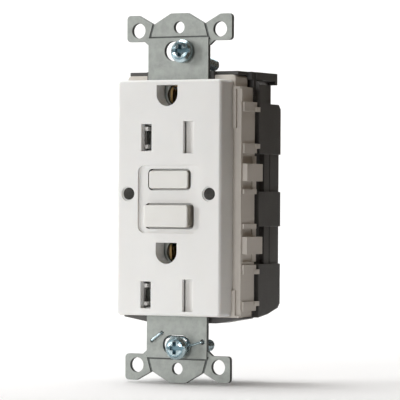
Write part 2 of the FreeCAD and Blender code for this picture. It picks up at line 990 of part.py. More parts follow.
def make_cover():
    """Front shell with the blade slots, ground holes, button mouths and lens holes."""
    outside = ("-cover_half", "cover_half"), ("-cover_tall", "cover_tall")
    body = slab("face_cover_shell", corners(*outside), "face_front", "cover_back")

    def upright_corner(a, b):
        return along_y(a, b)

    def front_rim(a, b):
        return close(a.y, size("face_front")) and close(b.y, size("face_front"))

    dress(body, "Fillet", "cover_corner", upright_corner)
    dress(body, "Fillet", "cover_round", front_rim)
    inside_x = ("-cover_half + cover_wall", "cover_half - cover_wall")
    inside_z = ("-cover_tall + cover_end_wall", "cover_tall - cover_end_wall")
    inner_front = "face_front + face_thick"
    take_slab(body, corners(inside_x, inside_z), inner_front, "cover_back")
    strap_way = around("0", "strap_half + strap_gap")
    whole_z = around("0", "cover_tall + 1")
    take_slab(body, corners(strap_way, whole_z), STRAP_FRONT, "cover_back")
    tub = corners(("-tub_half", "tub_half"), ("tub_z - tub_tall", "tub_z + tub_tall"))
    take_slab(body, tub, "face_front", "face_front + tub_deep")
    round_mouth(body, "tub_half", "tub_corner")
    for button in ("test", "reset"):
        wide = (f"-{button}_mouth_half", f"{button}_mouth_half")
        tall = (f"{button}_z - {button}_mouth_tall", f"{button}_z + {button}_mouth_tall")
        take_slab(body, corners(wide, tall), "face_front + tub_deep", inner_front)
        round_mouth(body, f"{button}_mouth_half", "mouth_corner")
    collars = []
    recesses = []
    for outlet in SLOTS:
        wide = around("ground_x", "ground_r + collar_lap")
        middle = f"{outlet}_z + ground_up"
        tall = (f"{middle} - ground_r - collar_lap", f"{middle} + ground_flat + collar_room")
        collars.append(corners(wide, tall))
        recess = ("recess_left", "recess_right"), around(f"{outlet}_z", "recess_tall")
        recesses.append(corners(*recess))
    take_slabs(body, recesses, "recess_front", inner_front)
    add_slabs(body, collars, inner_front, "collar_back")
    for outlet in SLOTS:
        blade_slot(body, outlet, "hot")
        blade_slot(body, outlet, "neutral")
        ground_hole(body, outlet)
    centres = [(f"{side} * lens_x", "lens_z") for side in SIDES.values()]
    take_holes(body, [(c, "lens_r + play") for c in centres], "face_front", inner_front)
    sink = "face_front + lens_sink"
    take_holes(body, [(c, "lens_r + lens_rim") for c in centres], "face_front", sink)
    bosses = []
    for number, (x, z) in enumerate(boss_places()):
        start = f"{inner_front} - overlap"
        post = rod(f"cover_boss_{number}", "y", (x, z), "boss_r", start, STRAP_BACK)
        bosses.append(post)
    walls = fuse("face_cover_walls", body, *bosses)
    holes = [
        rod(f"cover_bore_{number}", "y", (x, z), "screw_r + bore_gap", "screw_tip - 2 * play", "1")
        for number, (x, z) in enumerate(boss_places())
    ]
    return node(cut("face_cover", walls, *holes))


def boss_places():
    return [(f"{x} * boss_x", f"{z} * boss_z") for x in ("-1", "1") for z in ("1", "-1")]


def round_mouth(body, half, radius):
    """Round the upright corners of the opening whose half width is given."""
    reach = size(half)

    def mouth_corner(a, b):
        return along_y(a, b) and close(abs(a.x), reach)

    dress(body, "Fillet", radius, mouth_corner)


def blade_slot(body, outlet, pole):
    """Slot for one blade, with its rim at the face eased."""
    wide = around(f"{pole}_slot_x", "slot_half")
    tall = around(f"{outlet}_z", f"{pole}_tall")
    take_slab(body, corners(wide, tall), "face_front", "face_front + face_thick")
    low, high = size(wide[0]), size(wide[1])
    bottom, top = size(tall[0]), size(tall[1])

    def slot_rim(a, b):
        on_face = close(a.y, size("face_front")) and close(b.y, size("face_front"))
        inside = all(low - 1e-4 < p.x < high + 1e-4 for p in (a, b))
        return on_face and inside and all(bottom - 1e-4 < p.z < top + 1e-4 for p in (a, b))

    dress(body, "Chamfer", "lead_in", slot_rim)


def ground_hole(body, outlet):
    """Hole with a flat top and a half-round bottom for the ground pin."""
    middle = f"{outlet}_z + ground_up"
    low, high = f"{middle} - ground_r", f"{middle} + ground_flat"
    wide = around("ground_x", "ground_r")
    take_slab(body, corners(wide, (low, high)), "face_front", "collar_back")
    bottom = size(low)
    sides = [size(edge) for edge in wide]

    def lower_corner(a, b):
        at_side = any(close(a.x, edge) for edge in sides)
        return along_y(a, b) and at_side and close(a.z, bottom)

    dress(body, "Fillet", "ground_r - 0.01", lower_corner)


# ---- Middle housing ---------------------------------------------------------------

# Raised ribs down each side: middle height, half height, and which half of the rib carries
# a hook towards the back ("1" for the upper half, "-1" for the lower, None for no hook).
SIDE_RIBS = (
    ("panel_high - hook_tall / 2", "hook_tall / 2", "-1"),
    ("tab_upper_z + tab_room + hook_off", "hook_tall / 2", "1"),
    ("tab_upper_z - tab_room - rib_tall / 2", "rib_tall / 2", None),
    ("tab_lower_z + tab_room + rib_tall / 2", "rib_tall / 2", None),
    ("tab_lower_z - tab_room - hook_off", "hook_tall / 2", "-1"),
    ("panel_low + hook_tall / 2", "hook_tall / 2", "1"),
)


def side_blocks(side):
    """Everything that stands out from one side wall of the middle housing."""

    def out(low, high):
        return outward(side, low, high)

    name, reach_x = ("right", "tab_half") if side == "1" else ("left", "tab_half_left")
    wall = "middle_half - wall_sink"
    panels = (
        ("tab_upper_z + tab_room", "panel_high"),
        ("tab_lower_z + tab_room", "tab_upper_z - tab_room"),
        ("panel_low", "tab_lower_z - tab_room"),
    )
    blocks = [
        block(f"{name}_panel_{n}", out(wall, "flange_half"), ("cover_back", "panel_back"), z)
        for n, z in enumerate(panels)
    ]
    for n, (middle, half, hook_end) in enumerate(SIDE_RIBS):
        rib_y = ("rib_front", "rib_back")
        blocks.append(block(f"{name}_rib_{n}", out(wall, "rib_half"), rib_y, around(middle, half)))
        if hook_end:
            hook_x = out("rib_half - overlap", "rib_half + hook_proud")
            hook_z = around(f"{middle} + {hook_end} * hook_tall / 4", "hook_tall / 4")
            blocks.append(block(f"{name}_hook_{n}", hook_x, ("hook_root", "hook_back"), hook_z))
    for place in SLOTS:
        z = around(f"tab_{place}_z", "tab_tall")
        root = out(wall, reach_x)
        blocks.append(block(f"{name}_tab_{place}", root, ("tab_front", "middle_back"), z))
        reach = out("window_floor + play", reach_x)
        blocks.append(block(f"{name}_tab_end_{place}", reach, ("tab_front", "tab_back"), z))
        skirt_x = out("window_floor + play", "skirt_half")
        skirt_y = ("middle_back - overlap", "skirt_back")
        skirt_z = around(f"tab_{place}_z", "tab_room")
        blocks.append(block(f"{name}_skirt_{place}", skirt_x, skirt_y, skirt_z))
    lip_z = ("panel_low", "panel_high")
    lip_x = out("flange_half - lip_wide", "flange_half")
    inside_y = "cover_back + flange_thick - play"
    blocks.append(block(f"{name}_lip", lip_x, ("cover_back - lip_proud", inside_y), lip_z))
    brace_x = out("cover_half + play", "cover_half + brace_wide")
    brace_y = ("cover_back - brace_proud", inside_y)
    ledge_x = out("cover_half + play", "flange_half - ledge_in")
    blocks.append(block(f"{name}_brace_top", brace_x, brace_y, ("brace_upper_low", "middle_high")))
    blocks.append(block(f"{name}_brace_low", brace_x, brace_y, ("middle_low", "brace_lower_high")))
    ledge_z = ("middle_high - ledge_tall", "middle_high")
    blocks.append(block(f"{name}_ledge", ledge_x, brace_y, ledge_z))
    foot_z = ("middle_low", "middle_low + ledge_tall")
    blocks.append(block(f"{name}_foot", ledge_x, brace_y, foot_z))
    return blocks


def make_middle():
    """Light housing behind the strap: deck, side walls, ribs, tabs and screw bosses."""
    sides = ("-middle_half", "middle_half")
    body_z = ("middle_low", "middle_high")
    shell = block("middle_shell", sides, ("cover_back", "middle_back"), body_z)
    flange_x = ("-flange_half", "flange_half")
    flange_y = ("cover_back", "cover_back + flange_thick")
    flange = block("middle_flange", flange_x, flange_y, ("middle_low", "middle_high"))
    raised_x = around("0", "cover_half - cover_wall - fit_side")
    raised_z = around("0", "cover_tall - cover_end_wall - fit_side")
    raised = block("middle_raised", raised_x, (STRAP_BACK, "deck_back"), raised_z)
    head = slab(
        "middle_head",
        corners(around("0", "middle_top_half"), ("middle_high - overlap", "middle_top")),
        "cover_back",
        "middle_top_back",
    )

    def top_corner(a, b):
        return along_y(a, b) and close(a.z, size("middle_top"))

    dress(head, "Fillet", "cover_corner", top_corner)
    blocks = side_blocks("1") + side_blocks("-1")
    solid = fuse("middle_solid", shell, flange, raised, head, *blocks)
    room = block(
        "middle_room", around("0", "inner_half"), ("deck_back", "40"), ("inner_low", "inner_high")
    )
    tongue = block(
        "middle_tongue_gap", around("0", "tongue_half + play"), ("-1", "lid_front + play"),
        ("tongue_low - play", "40"),
    )
    hollow = cut("middle_hollow", solid, room, tongue)
    posts = [
        rod(f"middle_boss_{n}", "y", (x, z), "boss_r", "deck_back - overlap", "middle_back")
        for n, (x, z) in enumerate(boss_places())
    ]
    openings = [
        rod(f"middle_bore_{n}", "y", (x, z), "screw_hole_r", *THROUGH)
        for n, (x, z) in enumerate(boss_places())
    ]
    deck = (f"{STRAP_BACK} - 1", "deck_back + 1")
    for outlet in SLOTS:
        for side in SIDES.values():
            x = around(f"{side} * blade_x", "deck_way_half")
            z = around(f"{outlet}_z", "grip_tall + leaf + deck_gap / 2")
            openings.append(block(f"deck_{outlet}_{side == '1'}", x, deck, z))
        x = around("0", "earth_gap + leaf + deck_gap")
        z = around(f"{outlet}_z + ground_up", "earth_room")
        openings.append(block(f"deck_{outlet}_earth", x, deck, z))
        z = around(f"{outlet}_z + ground_up", "earth_foot + deck_gap")
        foot = (deck[0], f"{STRAP_BACK} + leaf + play")
        openings.append(block(f"deck_{outlet}_foot", x, foot, z))
    for button in ("test", "reset"):
        centre = ("0", f"{button}_z")
        bore = rod(f"deck_{button}_bore", "y", centre, "stem_r + stem_play", *deck)
        openings.append(bore)
    for side in SIDES.values():
        centre = (f"{side} * lens_x", "lens_z")
        openings.append(rod(f"deck_pipe_{side == '1'}", "y", centre, "pipe_r + deck_gap / 2", *deck))
    jumper_x = around("0", "jumper_half + deck_gap / 2")
    openings.append(block("deck_jumper", jumper_x, deck, around("jumper_z", "jumper_room")))
    ribbed = fuse("middle_ribbed", hollow, *posts)
    return node(cut("middle_housing", ribbed, *openings))


# ---- Rear housing -----------------------------------------------------------------


def make_rear():
    """Dark back shell with side windows, a lid over the wiring socket and a curved sill."""
    body = new_body("rear_shell")
    side_view = sketch(body, "YZ_Plane", "-rear_half")
    polygon(
        side_view,
        [
            ("middle_back", "rear_low"),
            ("rear_knee", "rear_low + rear_rise"),
            ("rear_back - rear_bevel", "rear_low_back"),
            ("rear_back", "rear_low_back + rear_bevel"),
            ("rear_back", "rear_shoulder - rear_bevel"),
            ("rear_back - rear_bevel", "rear_shoulder"),
            ("socket_front", "rear_shoulder"),
            ("socket_front", "rear_top"),
            ("middle_back", "rear_top"),
        ],
    )
    pad(body, side_view, "2 * rear_half")

    def top_corner(a, b):
        return along_y(a, b) and close(a.z, size("rear_top")) and close(abs(a.x), size("rear_half"))

    dress(body, "Chamfer", "top_bevel", top_corner)
    sill = slab(
        "rear_sill",
        [
            ("-sill_keel", "sill_low"),
            ("sill_keel", "sill_low"),
            ("sill_half", "sill_side"),
            ("sill_half", "middle_low - bore_gap"),
            ("-sill_half", "middle_low - bore_gap"),
            ("-sill_half", "sill_side"),
        ],
        "sill_front",
        "middle_back + overlap",
    )
    lid = block("rear_lid", around("0", "lid_half"), ("middle_top_back + 2 * play", "lid_back"),
                ("lid_low", "lid_high"))
    lid_front = block("rear_lid_front", around("0", "lid_tip_half"), ("lid_front", "lid_back"),
                      ("middle_top + play", "lid_high"))
    catch = block("rear_catch", around("0", "lid_half"), ("lid_back - catch_thick", "lid_back"),
                  ("catch_low", "lid_high"))
    tongue = block("rear_tongue", around("0", "tongue_half"), (f"{STRAP_BACK} + bore_gap", "lid_front"),
                   ("tongue_low", "lid_high"))
    cheek_z = ("rear_shoulder - overlap", "lid_low + overlap")
    cheek_front = "socket_front - overlap"
    cheeks = []
    for n, side in enumerate(ENDS):
        thick = outward(side, "cheek_in", "cheek_out")
        thin = outward(side, "cheek_in", "cheek_thin")
        cheeks.append(block(f"rear_cheek_{n}", thick, (cheek_front, "cheek_step"), cheek_z))
        cheeks.append(block(f"rear_cheek_thin_{n}", thin, (cheek_front, "lid_back"), cheek_z))
    solid = fuse("rear_solid", body, sill, lid, lid_front, catch, tongue, *cheeks)
    cuts = [
        block("rear_deep_room", around("0", "inner_half"), ("0", "rear_back - rear_wall"),
              ("cavity_low", "cavity_top")),
        block("rear_bay", around("0", "inner_half"), ("0", "bay_back"),
              ("cavity_top - overlap", "inner_high")),
        block("rear_socket", around("0", "socket_half"), ("socket_front", "40"),
              ("socket_low", "lid_low")),
    ]
    for n, side in enumerate(("1", "-1")):
        cuts += side_cuts(n, side)
    for n, x in enumerate(pin_places()):
        pins = block(f"pin_way_{n}", around(x, "pin_half"), ("bay_back - 1", "socket_front + 1"),
                     ("pin_low", "pin_high"))
        cuts.append(pins)
    hollow = cut("rear_hollow", solid, *cuts)
    posts = [
        rod(f"rear_boss_{n}", "y", (x, z), "boss_r", "middle_back", rear_boss_back(z))
        for n, (x, z) in enumerate(boss_places())
    ]
    bores = [
        rod(f"rear_bore_{n}", "y", (x, z), "screw_hole_r", *THROUGH)
        for n, (x, z) in enumerate(boss_places())
    ]
    for n, x in enumerate(("-boss_x", "boss_x")):
        centre = (x, "-boss_z")
        sink = "rear_back - screw_sink"
        bores.append(rod(f"rear_sink_{n}", "y", centre, "screw_head_r + sink_gap", sink, "40"))
    return node(cut("rear_housing", fuse("rear_bossed", hollow, *posts), *bores))


def rear_boss_back(z):
    """Bosses end inside the wall behind them: the socket's floor above, the back below."""
    return "bay_back + overlap" if z.startswith("1") else "rear_back - screw_sink"


def side_cuts(number, side):
    """Neck, waists and windows down one side of the rear housing."""

    def out(low, high):
        return outward(side, low, high)

    neck = block(f"neck_{number}", out("neck_half", "40"), ("0", "neck_back"), THROUGH)
    cuts = [neck]
    for place in SLOTS:
        z = around(f"tab_{place}_z", "waist_room")
        waist_y = ("neck_back - overlap", "40")
        waist = block(f"waist_{place}_{number}", out("waist_half", "40"), waist_y, z)
        window_y = ("0", "waist_front")
        window = block(f"window_{place}_{number}", out("window_floor", "40"), window_y, z)
        groove_y = around("ridge_y", "ridge_wide / 2")
        groove = block(f"groove_{place}_{number}", out("waist_half - ridge_deep", "40"), groove_y, z)
        cuts += [waist, window, groove]
    return cuts


def pin_places():
    return [f"{n} * pin_pitch" for n in range(-2, 3)]


# ---- Assembly screws ----------------------------------------------------------------


def make_assembly_screws():
    """Two short screws behind the socket's floor and two long ones from the back."""
    drive = ("drive_long", "drive_wide")
    for place, z, back in (("upper", "boss_z", "socket_front"),
                           ("lower", "-boss_z", "rear_back - screw_sink")):
        screws = []
        for n, x in enumerate(("-boss_x", "boss_x")):
            name = f"{place}_assembly_{n}"
            head_back = f"{back} + screw_head_tall"
            drive_y = (f"{head_back} - drive_deep", f"{head_back} + 1")
            shank = rod(f"{name}_shank", "y", (x, z), "screw_r", "screw_tip", back)
            head = rod(f"{name}_head", "y", (x, z), "screw_head_r", back, head_back)
            crosses = [
                block(f"{name}_cross_{k}", around(x, wide), drive_y, around(z, tall))
                for k, (wide, tall) in enumerate((drive, drive[::-1]))
            ]
            screws.append(cut(name, fuse(f"{name}_solid", shank, head), *crosses))
        node(group(f"assembly_screws_{place}", *screws))


# ---- Female contacts for the blades and ground pins ---------------------------------


def make_buses():
    """One sprung brass bar a pole, with a two-leaf grip behind each outlet's slot."""
    for pole, side in SIDES.items():
        middle = f"{side} * blade_x"
        parts = []
        for outlet in SLOTS:
            z = around(f"{outlet}_z", "grip_tall")
            y = ("grip_front", "grip_back")
            inner, outer = f"{middle} - grip_gap", f"{middle} + grip_gap"
            parts.append(block(f"{pole}_{outlet}_leaf_a", (f"{inner} - leaf", inner), y, z))
            parts.append(block(f"{pole}_{outlet}_leaf_b", (outer, f"{outer} + leaf"), y, z))
            end = around(middle, "grip_gap + leaf")
            top = (f"{outlet}_z + grip_tall", f"{outlet}_z + grip_tall + leaf")
            parts.append(block(f"{pole}_{outlet}_web", end, y, top))
        bar_x = outward(side, "blade_x + grip_gap", "blade_x + grip_gap + leaf")
        bar_z = ("lower_z - grip_tall", "upper_z + grip_tall")
        parts.append(block(f"{pole}_bar", bar_x, ("bar_front", "bar_back"), bar_z))
        tab_x = outward(side, "blade_x + grip_gap", "pad_x + pad_r + arm_lap")
        tab_y = ("pad_front - strip", "pad_front")
        tab_z = around("pad_z + pad_pitch", "arm_tall")
        parts.append(block(f"{pole}_tab", tab_x, tab_y, tab_z))
        node(fuse(f"{pole}_receptacle_contact", *parts))


def make_earths():
    """Ground contact behind each round hole: a window frame and two leaves, on the strap."""
    for outlet in SLOTS:
        middle = f"{outlet}_z + ground_up"
        name = f"ground_contact_{outlet}"
        foot_y = (STRAP_BACK, f"{STRAP_BACK} + leaf")
        leaf_y = (STRAP_BACK, "earth_back")
        leaf_z = around(middle, "earth_tall")
        parts = [
            block(f"{name}_foot", around("0", "earth_gap + leaf"), foot_y,
                  around(middle, "earth_foot")),
            block(f"{name}_left", ("-earth_gap - leaf", "-earth_gap"), leaf_y, leaf_z),
            block(f"{name}_right", ("earth_gap", "earth_gap + leaf"), leaf_y, leaf_z),
        ]
        window = block(f"{name}_window", around("0", "earth_window"), THROUGH,
                       around(middle, "earth_window"))
        node(cut(name, fuse(f"{name}_bent", *parts), window))
    jumper = [
        block("jumper_run", around("0", "jumper_half"), (STRAP_BACK, "pin_front"),
              around("jumper_z", "strip / 2")),
        block("jumper_end", around("0", "jumper_half"), ("pin_front - strip", "pin_front"),
              ("pin_low", "jumper_z")),
    ]
    node(fuse("ground_link", *jumper))


# ---- Wiring contacts, fixed contact arms and line leads -------------------------------


def make_wiring():
    """Blades of the plug-in socket, load strips, line posts, contact pads and line leads."""
    blades = [
        block(f"wiring_blade_{n}", around(x, "pin_half"), ("pin_front", "pin_back"),
              ("pin_low", "pin_high"))
        for n, x in enumerate(pin_places())
    ]
    node(group("wiring_blades", *blades))
    arm_y = ("pad_front - strip", "pad_front")
    pads = []
    for pole, side in SIDES.items():
        load_z = around("pad_z - pad_pitch", "arm_tall")
        load_x = outward(side, "load_x", "load_x + leaf")
        pin_x = outward(side, "2 * pin_pitch - pin_half", "load_x + leaf")
        end_y = ("pin_front - strip", "pin_front")
        load = [
            block(f"load_{pole}_arm", outward(side, "pad_x - pad_r - arm_lap", "load_x + leaf"), arm_y,
                  load_z),
            block(f"load_{pole}_riser", load_x, ("load_front", "load_back"),
                  ("pad_z - pad_pitch - arm_tall", "pin_high")),
            block(f"load_{pole}_turn", load_x, ("load_front", "pin_front"),
                  ("pin_low", "pin_high")),
            block(f"load_{pole}_end", pin_x, end_y, ("pin_low", "pin_high")),
        ]
        node(fuse(f"load_strip_{pole}", *load))
        post_x = outward(side, "post_x", "post_x + post_thick")
        line = [
            block(f"line_{pole}_arm", outward(side, "pad_x - pad_r - arm_lap", "post_x + post_thick"),
                  arm_y, around("pad_z", "arm_tall")),
            block(f"line_{pole}_post", post_x, ("pad_front - strip", "board_front"),
                  around("pad_z", "arm_tall")),
        ]
        node(fuse(f"line_post_{pole}", *line))
        for row in ("-1", "0", "1"):
            centre = (f"{side} * pad_x", f"pad_z + {row} * pad_pitch")
            pads.append(rod(f"fixed_{pole}_{len(pads)}", "y", centre, "pad_r", "pad_front",
                            "pad_front + pad_tall"))
        node(feature(f"line_lead_{pole}", bent_wire(lead_route(side), "lead_r", "lead_bend")))
    node(group("fixed_contact_pads", *pads))


def lead_route(side):
    """Insulated wire from a line blade, down one side and through the sensing ring."""
    mid_z = "(pin_low + pin_high) / 2"
    hole_x = f"ring_x + {side} * lead_gap"
    return [
        (f"{side} * pin_pitch", "pin_front", mid_z),
        (f"{side} * pin_pitch", "lead_y", mid_z),
        (f"{side} * lead_x", "lead_y", mid_z),
        (f"{side} * lead_x", "lead_y", "ring_z"),
        (hole_x, "lead_y", "ring_z"),
        (hole_x, "board_front", "ring_z"),
    ]


# ---- Circuit board and what is on it ---------------------------------------------------


def make_board():
    """Circuit board, notched for the lower screw bosses."""
    plate = block("board_plate", around("0", "board_half"), ("board_front", "board_front + board_thick"),
                  ("board_low", "board_high"))
    notches = [
        rod(f"board_notch_{n}", "y", (x, "-boss_z"), "boss_r + notch_gap", *THROUGH)
        for n, x in enumerate(("-boss_x", "boss_x"))
    ]
    node(cut("circuit_board", plate, *notches))


def make_parts_on_board():
    """Capacitor, varistor, thyristor, chip and lamps in front; small parts behind."""
    node(block("filter_capacitor", ("cap_left", "cap_left + cap_wide"), ("cap_front", "board_front"),
               ("cap_low", "cap_low + cap_tall")))
    node(rod("surge_varistor", "x", ("board_front - disc_r", "disc_z"), "disc_r", "disc_left",
             "disc_left + disc_thick"))
    can = rod("thyristor_can", "y", ("can_x", "can_z"), "can_r", "board_front - can_tall",
              "board_front")
    flat = block("thyristor_flat", around("can_x", "can_r + 1"), ("0", "board_front + 1"),
                 ("can_z + can_flat", "can_z + can_r + 1"))
    node(cut("trip_thyristor", can, flat))
    chip = block("chip_body", around("chip_x", "chip_half"), ("board_front - chip_thick",
                 "board_front - chip_gap"), around("chip_z", "chip_tall"))
    leg_y = ("board_front - chip_foot", "board_front")
    legs = [
        block(f"chip_leg_{row}_{n}", around(f"chip_x + ({n}) * chip_pitch", "leg_half"), leg_y, z)
        for row, z in enumerate((
            ("chip_z - chip_tall - leg_long", "chip_z - chip_tall + leg_half"),
            ("chip_z + chip_tall - leg_half", "chip_z + chip_tall + leg_long"),
        ))
        for n in ("-1.5", "-0.5", "0.5", "1.5")
    ]
    node(fuse("control_chip", chip, *legs))
    lamps = []
    for n, side in enumerate(SIDES.values()):
        centre = (f"{side} * lens_x", "lens_z")
        rim_front = "board_front - lamp_rim_tall"
        rim = rod(f"lamp_rim_{n}", "y", centre, "lamp_r + lamp_rim", rim_front, "board_front")
        dome = rod(f"lamp_dome_{n}", "y", centre, "lamp_r", "pipe_end + lamp_gap", "board_front")
        lamps.append(fuse(f"lamp_{n}", rim, dome))
    node(group("indicator_lamps", *lamps))
    back = "board_front + board_thick"
    resistors = [
        rod(f"resistor_{n}", "z", (f"resistor_x + {n} * resistor_pitch", f"{back} + resistor_r"),
            "resistor_r", "resistor_z - resistor_half", "resistor_z + resistor_half")
        for n in range(3)
    ]
    node(group("resistors", *resistors))
    diodes = [
        rod(f"diode_{n}", "z", (f"diode_x + {n} * diode_pitch", f"{back} + diode_r"),
            "diode_r", "resistor_z - diode_half", "resistor_z + diode_half")
        for n in range(4)
    ]
    node(group("rectifier_diodes", *diodes))
    centre = ("ring_x", "ring_z")
    case = rod("sensor_solid", "y", centre, "ring_out", "ring_front", "ring_back")
    bore = rod("sensor_bore", "y", centre, "ring_in", *THROUGH)
    rooms = []
    cores = []
    for n in range(2):
        low = f"ring_front + core_wall + {n} * (core_tall + core_wall + 2 * core_play)"
        high = f"{low} + core_tall + 2 * core_play"
        outside = rod(f"room_out_{n}", "y", centre, "core_out + core_play", low, high)
        inside = rod(f"room_in_{n}", "y", centre, "core_in - core_play", *THROUGH)
        rooms.append(cut(f"room_{n}", outside, inside))
        ring = rod(f"core_out_{n}", "y", centre, "core_out", f"{low} + core_play", f"{high} - core_play")
        hole = rod(f"core_in_{n}", "y", centre, "core_in", *THROUGH)
        cores.append(cut(f"core_{n}", ring, hole))
    node(cut("current_sensor_case", case, bore, *rooms))
    node(group("sensor_cores", *cores))


# ---- Solenoid ------------------------------------------------------------------------


def make_solenoid():
    """Bobbin with its winding, steel yoke, plunger and the plunger's spring."""
    centre = ("coil_x", "coil_y")
    ends = (("coil_low", "coil_low + bobbin_flange"), ("coil_high - bobbin_flange", "coil_high"))
    tube = rod("bobbin_tube_rod", "z", centre, "bobbin_tube", "coil_low", "coil_high")
    flanges = [
        rod(f"bobbin_end_{n}", "z", centre, "bobbin_r", low, high)
        for n, (low, high) in enumerate(ends)
    ]
    bore = rod("bobbin_hole", "z", centre, "bobbin_bore", *THROUGH)
    node(cut("solenoid_bobbin", fuse("bobbin_solid", tube, *flanges), bore))
    winding = rod("winding", "z", centre, "coil_r", ends[0][1], ends[1][0])
    core = rod("winding_core", "z", centre, "bobbin_tube", *THROUGH)
    node(cut("solenoid_coil", winding, core))
    x = around("coil_x", "yoke_half")
    y = ("yoke_front", "yoke_back")
    z = ("coil_low - yoke_thick", "coil_high + yoke_thick")
    outer = block("yoke_solid", x, y, z)
    inner = block("yoke_room", around("coil_x", "yoke_half + 1"), ("yoke_front - 1",
                  "yoke_back - yoke_thick"), ("coil_low", "coil_high"))
    way = rod("yoke_hole", "z", centre, "bobbin_bore", "coil_high - 1", "0")
    node(cut("solenoid_yoke", outer, inner, way))
    head_top = "latch_toe - plunger_gap"
    shaft = rod("plunger_shaft", "z", centre, "plunger_r", "plunger_low", head_top)
    head = rod("plunger_disc", "z", centre, "plunger_head_r", f"{head_top} - plunger_head", head_top)
    node(fuse("solenoid_plunger", shaft, head))
    base = ("coil_x", "coil_y", "coil_low")
    length = "plunger_low - coil_low"
    radius = "bobbin_bore - 2 * play"
    node(coil("plunger_spring", base, (0, 0, 1), length, radius, "main_wire", "plunger_turns"))


# ---- Contact carriage, bridges and latch ------------------------------------------------


def make_carriage():
    """Sliding block that carries the moving contacts and the latch plate."""
    front = "pad_front + contact_gap + 2 * pad_tall"
    z = around("reset_z", "carriage_tall")
    plate_back = f"{front} + strip"
    wing = block("carriage_wings", around("0", "carriage_wing"),
                 (plate_back, f"{plate_back} + wing_thick"), z)
    core = block("carriage_core", around("0", "carriage_half"), (plate_back, "carriage_back"), z)
    bore = rod("carriage_bore", "y", ("0", "reset_z"), "bore_r", *THROUGH)
    latch_way = block("carriage_latch_way", around("0", "latch_half + latch_play"),
                      ("latch_front - latch_play", "latch_front + latch_thick + latch_play"),
                      THROUGH)
    node(cut("contact_carriage", fuse("carriage_solid", wing, core), bore, latch_way))
    pads = []
    for pole, side in SIDES.items():
        x = outward(side, "bridge_in", "bridge_out")
        node(block(f"contact_bridge_{pole}", x, (front, plate_back), around("pad_z", "bridge_tall")))
        for row in ("-1", "0", "1"):
            centre = (f"{side} * pad_x", f"pad_z + {row} * pad_pitch")
            pads.append(rod(f"moving_{pole}_{len(pads)}", "y", centre, "pad_r",
                            f"{front} - pad_tall", front))
    node(group("moving_contact_pads", *pads))
    latch = [
        ("-latch_half", "latch_low"),
        ("coil_x - latch_heel", "latch_low"),
        ("coil_x - latch_heel", "latch_toe"),
        ("latch_half", "latch_toe"),
        ("latch_half", "latch_high"),
        ("-latch_half", "latch_high"),
    ]
    plate = slab("latch_plate", latch, "latch_front", "latch_front + latch_thick")
    keyhole = ("latch_front", "latch_front + latch_thick")
    take_holes(plate, [(("0", "reset_z"), "latch_hole_r")], *keyhole)
    narrow_z = ("reset_z - latch_travel - latch_slot_half", "reset_z")
    narrow = corners(around("0", "latch_slot_half"), narrow_z)
    take_slab(plate, narrow, *keyhole)
    node(plate)


# ---- Buttons --------------------------------------------------------------------------


def make_button(name, front):
    """Rounded key with a wider rim behind the cover that keeps it in."""
    half, tall = f"{name}_half", f"{name}_tall"
    body = slab(
        f"{name}_key", corners(around("0", half), around(f"{name}_z", tall)), front, "flange_back"
    )

    def upright(a, b):
        return along_y(a, b)

    def rim(a, b):
        return close(a.y, size(front)) and close(b.y, size(front))

    dress(body, "Fillet", "button_corner", upright)
    dress(body, "Fillet", "button_round", rim)
    flange_x = around("0", f"{name}_mouth_half + flange_lap")
    flange_z = around(f"{name}_z", f"{name}_mouth_tall + flange_lap")
    flange = block(f"{name}_rim", flange_x, ("flange_front", "flange_back"), flange_z)
    return body, flange


def make_test():
    """Test button with its stem, return spring and the sprung contact that it presses."""
    body, flange = make_button("test", "test_front")
    stem = rod("test_stem", "y", ("0", "test_z"), "stem_r", "flange_front", "test_stem_end")
    node(fuse("test_button", body, flange, stem))
    base = ("0", STRAP_BACK, "test_z")
    gap = f"({STRAP_BACK}) - (flange_back)"
    node(coil("test_return_spring", base, (0, -1, 0), gap, "test_coil_r", "main_wire", "test_turns"))
    wide = around("0", "blade_half")
    leaf = block("test_leaf", wide, ("blade_front", "blade_front + blade_thick"),
                 ("blade_low", "blade_high"))
    riser = block("test_riser", wide, ("blade_front", "board_front"),
                  ("blade_high - blade_thick", "blade_high"))
    node(fuse("test_contact_spring", leaf, riser))


def make_reset():
    """Reset button, its latching pin and its return spring."""
    body, flange = make_button("reset", "reset_front")
    centre = ("0", "reset_z")
    well_end = "reset_front + well_deep"
    well = rod("reset_well", "y", centre, "well_r", well_end, "0")
    socket = rod("reset_socket", "y", centre, "socket_r", "reset_front + socket_deep", "socket_end")
    bore = rod("reset_bore", "y", centre, "stem_r", "reset_front + pin_deep", "5")
    shell = cut("reset_shell", fuse("reset_solid", body, flange), well)
    node(cut("reset_button", fuse("reset_bossed", shell, socket), bore))
    tip = "latch_front - carriage_travel - pin_gap"
    neck_front = "latch_front - carriage_travel - pin_margin - reset_travel"
    neck_back = "latch_front + latch_thick + pin_margin - reset_travel"
    start = "reset_front + pin_deep"
    outline = [
        ("0", "0"),
        ("stem_r", "0"),
        ("stem_r", f"({neck_front}) - ({start})"),
        ("neck_r", f"({neck_front}) - ({start})"),
        ("neck_r", f"({neck_back}) - ({start})"),
        ("stem_r", f"({neck_back}) - ({start})"),
        ("stem_r", f"({tip}) - ({start}) - tip_long"),
        ("stem_r / 2", f"({tip}) - ({start})"),
        ("0", f"({tip}) - ({start})"),
    ]
    base = Vector(0, size(start), size("reset_z"))
    node(turned("reset_pin", outline, base, Vector(0, 1, 0)))
    base = ("0", STRAP_BACK, "reset_z")
    gap = f"({STRAP_BACK}) - ({well_end})"
    radius = "well_r - 2 * play"
    node(coil("reset_return_spring", base, (0, -1, 0), gap, radius, "main_wire", "reset_turns"))


# ---- Indicator lenses -------------------------------------------------------------------


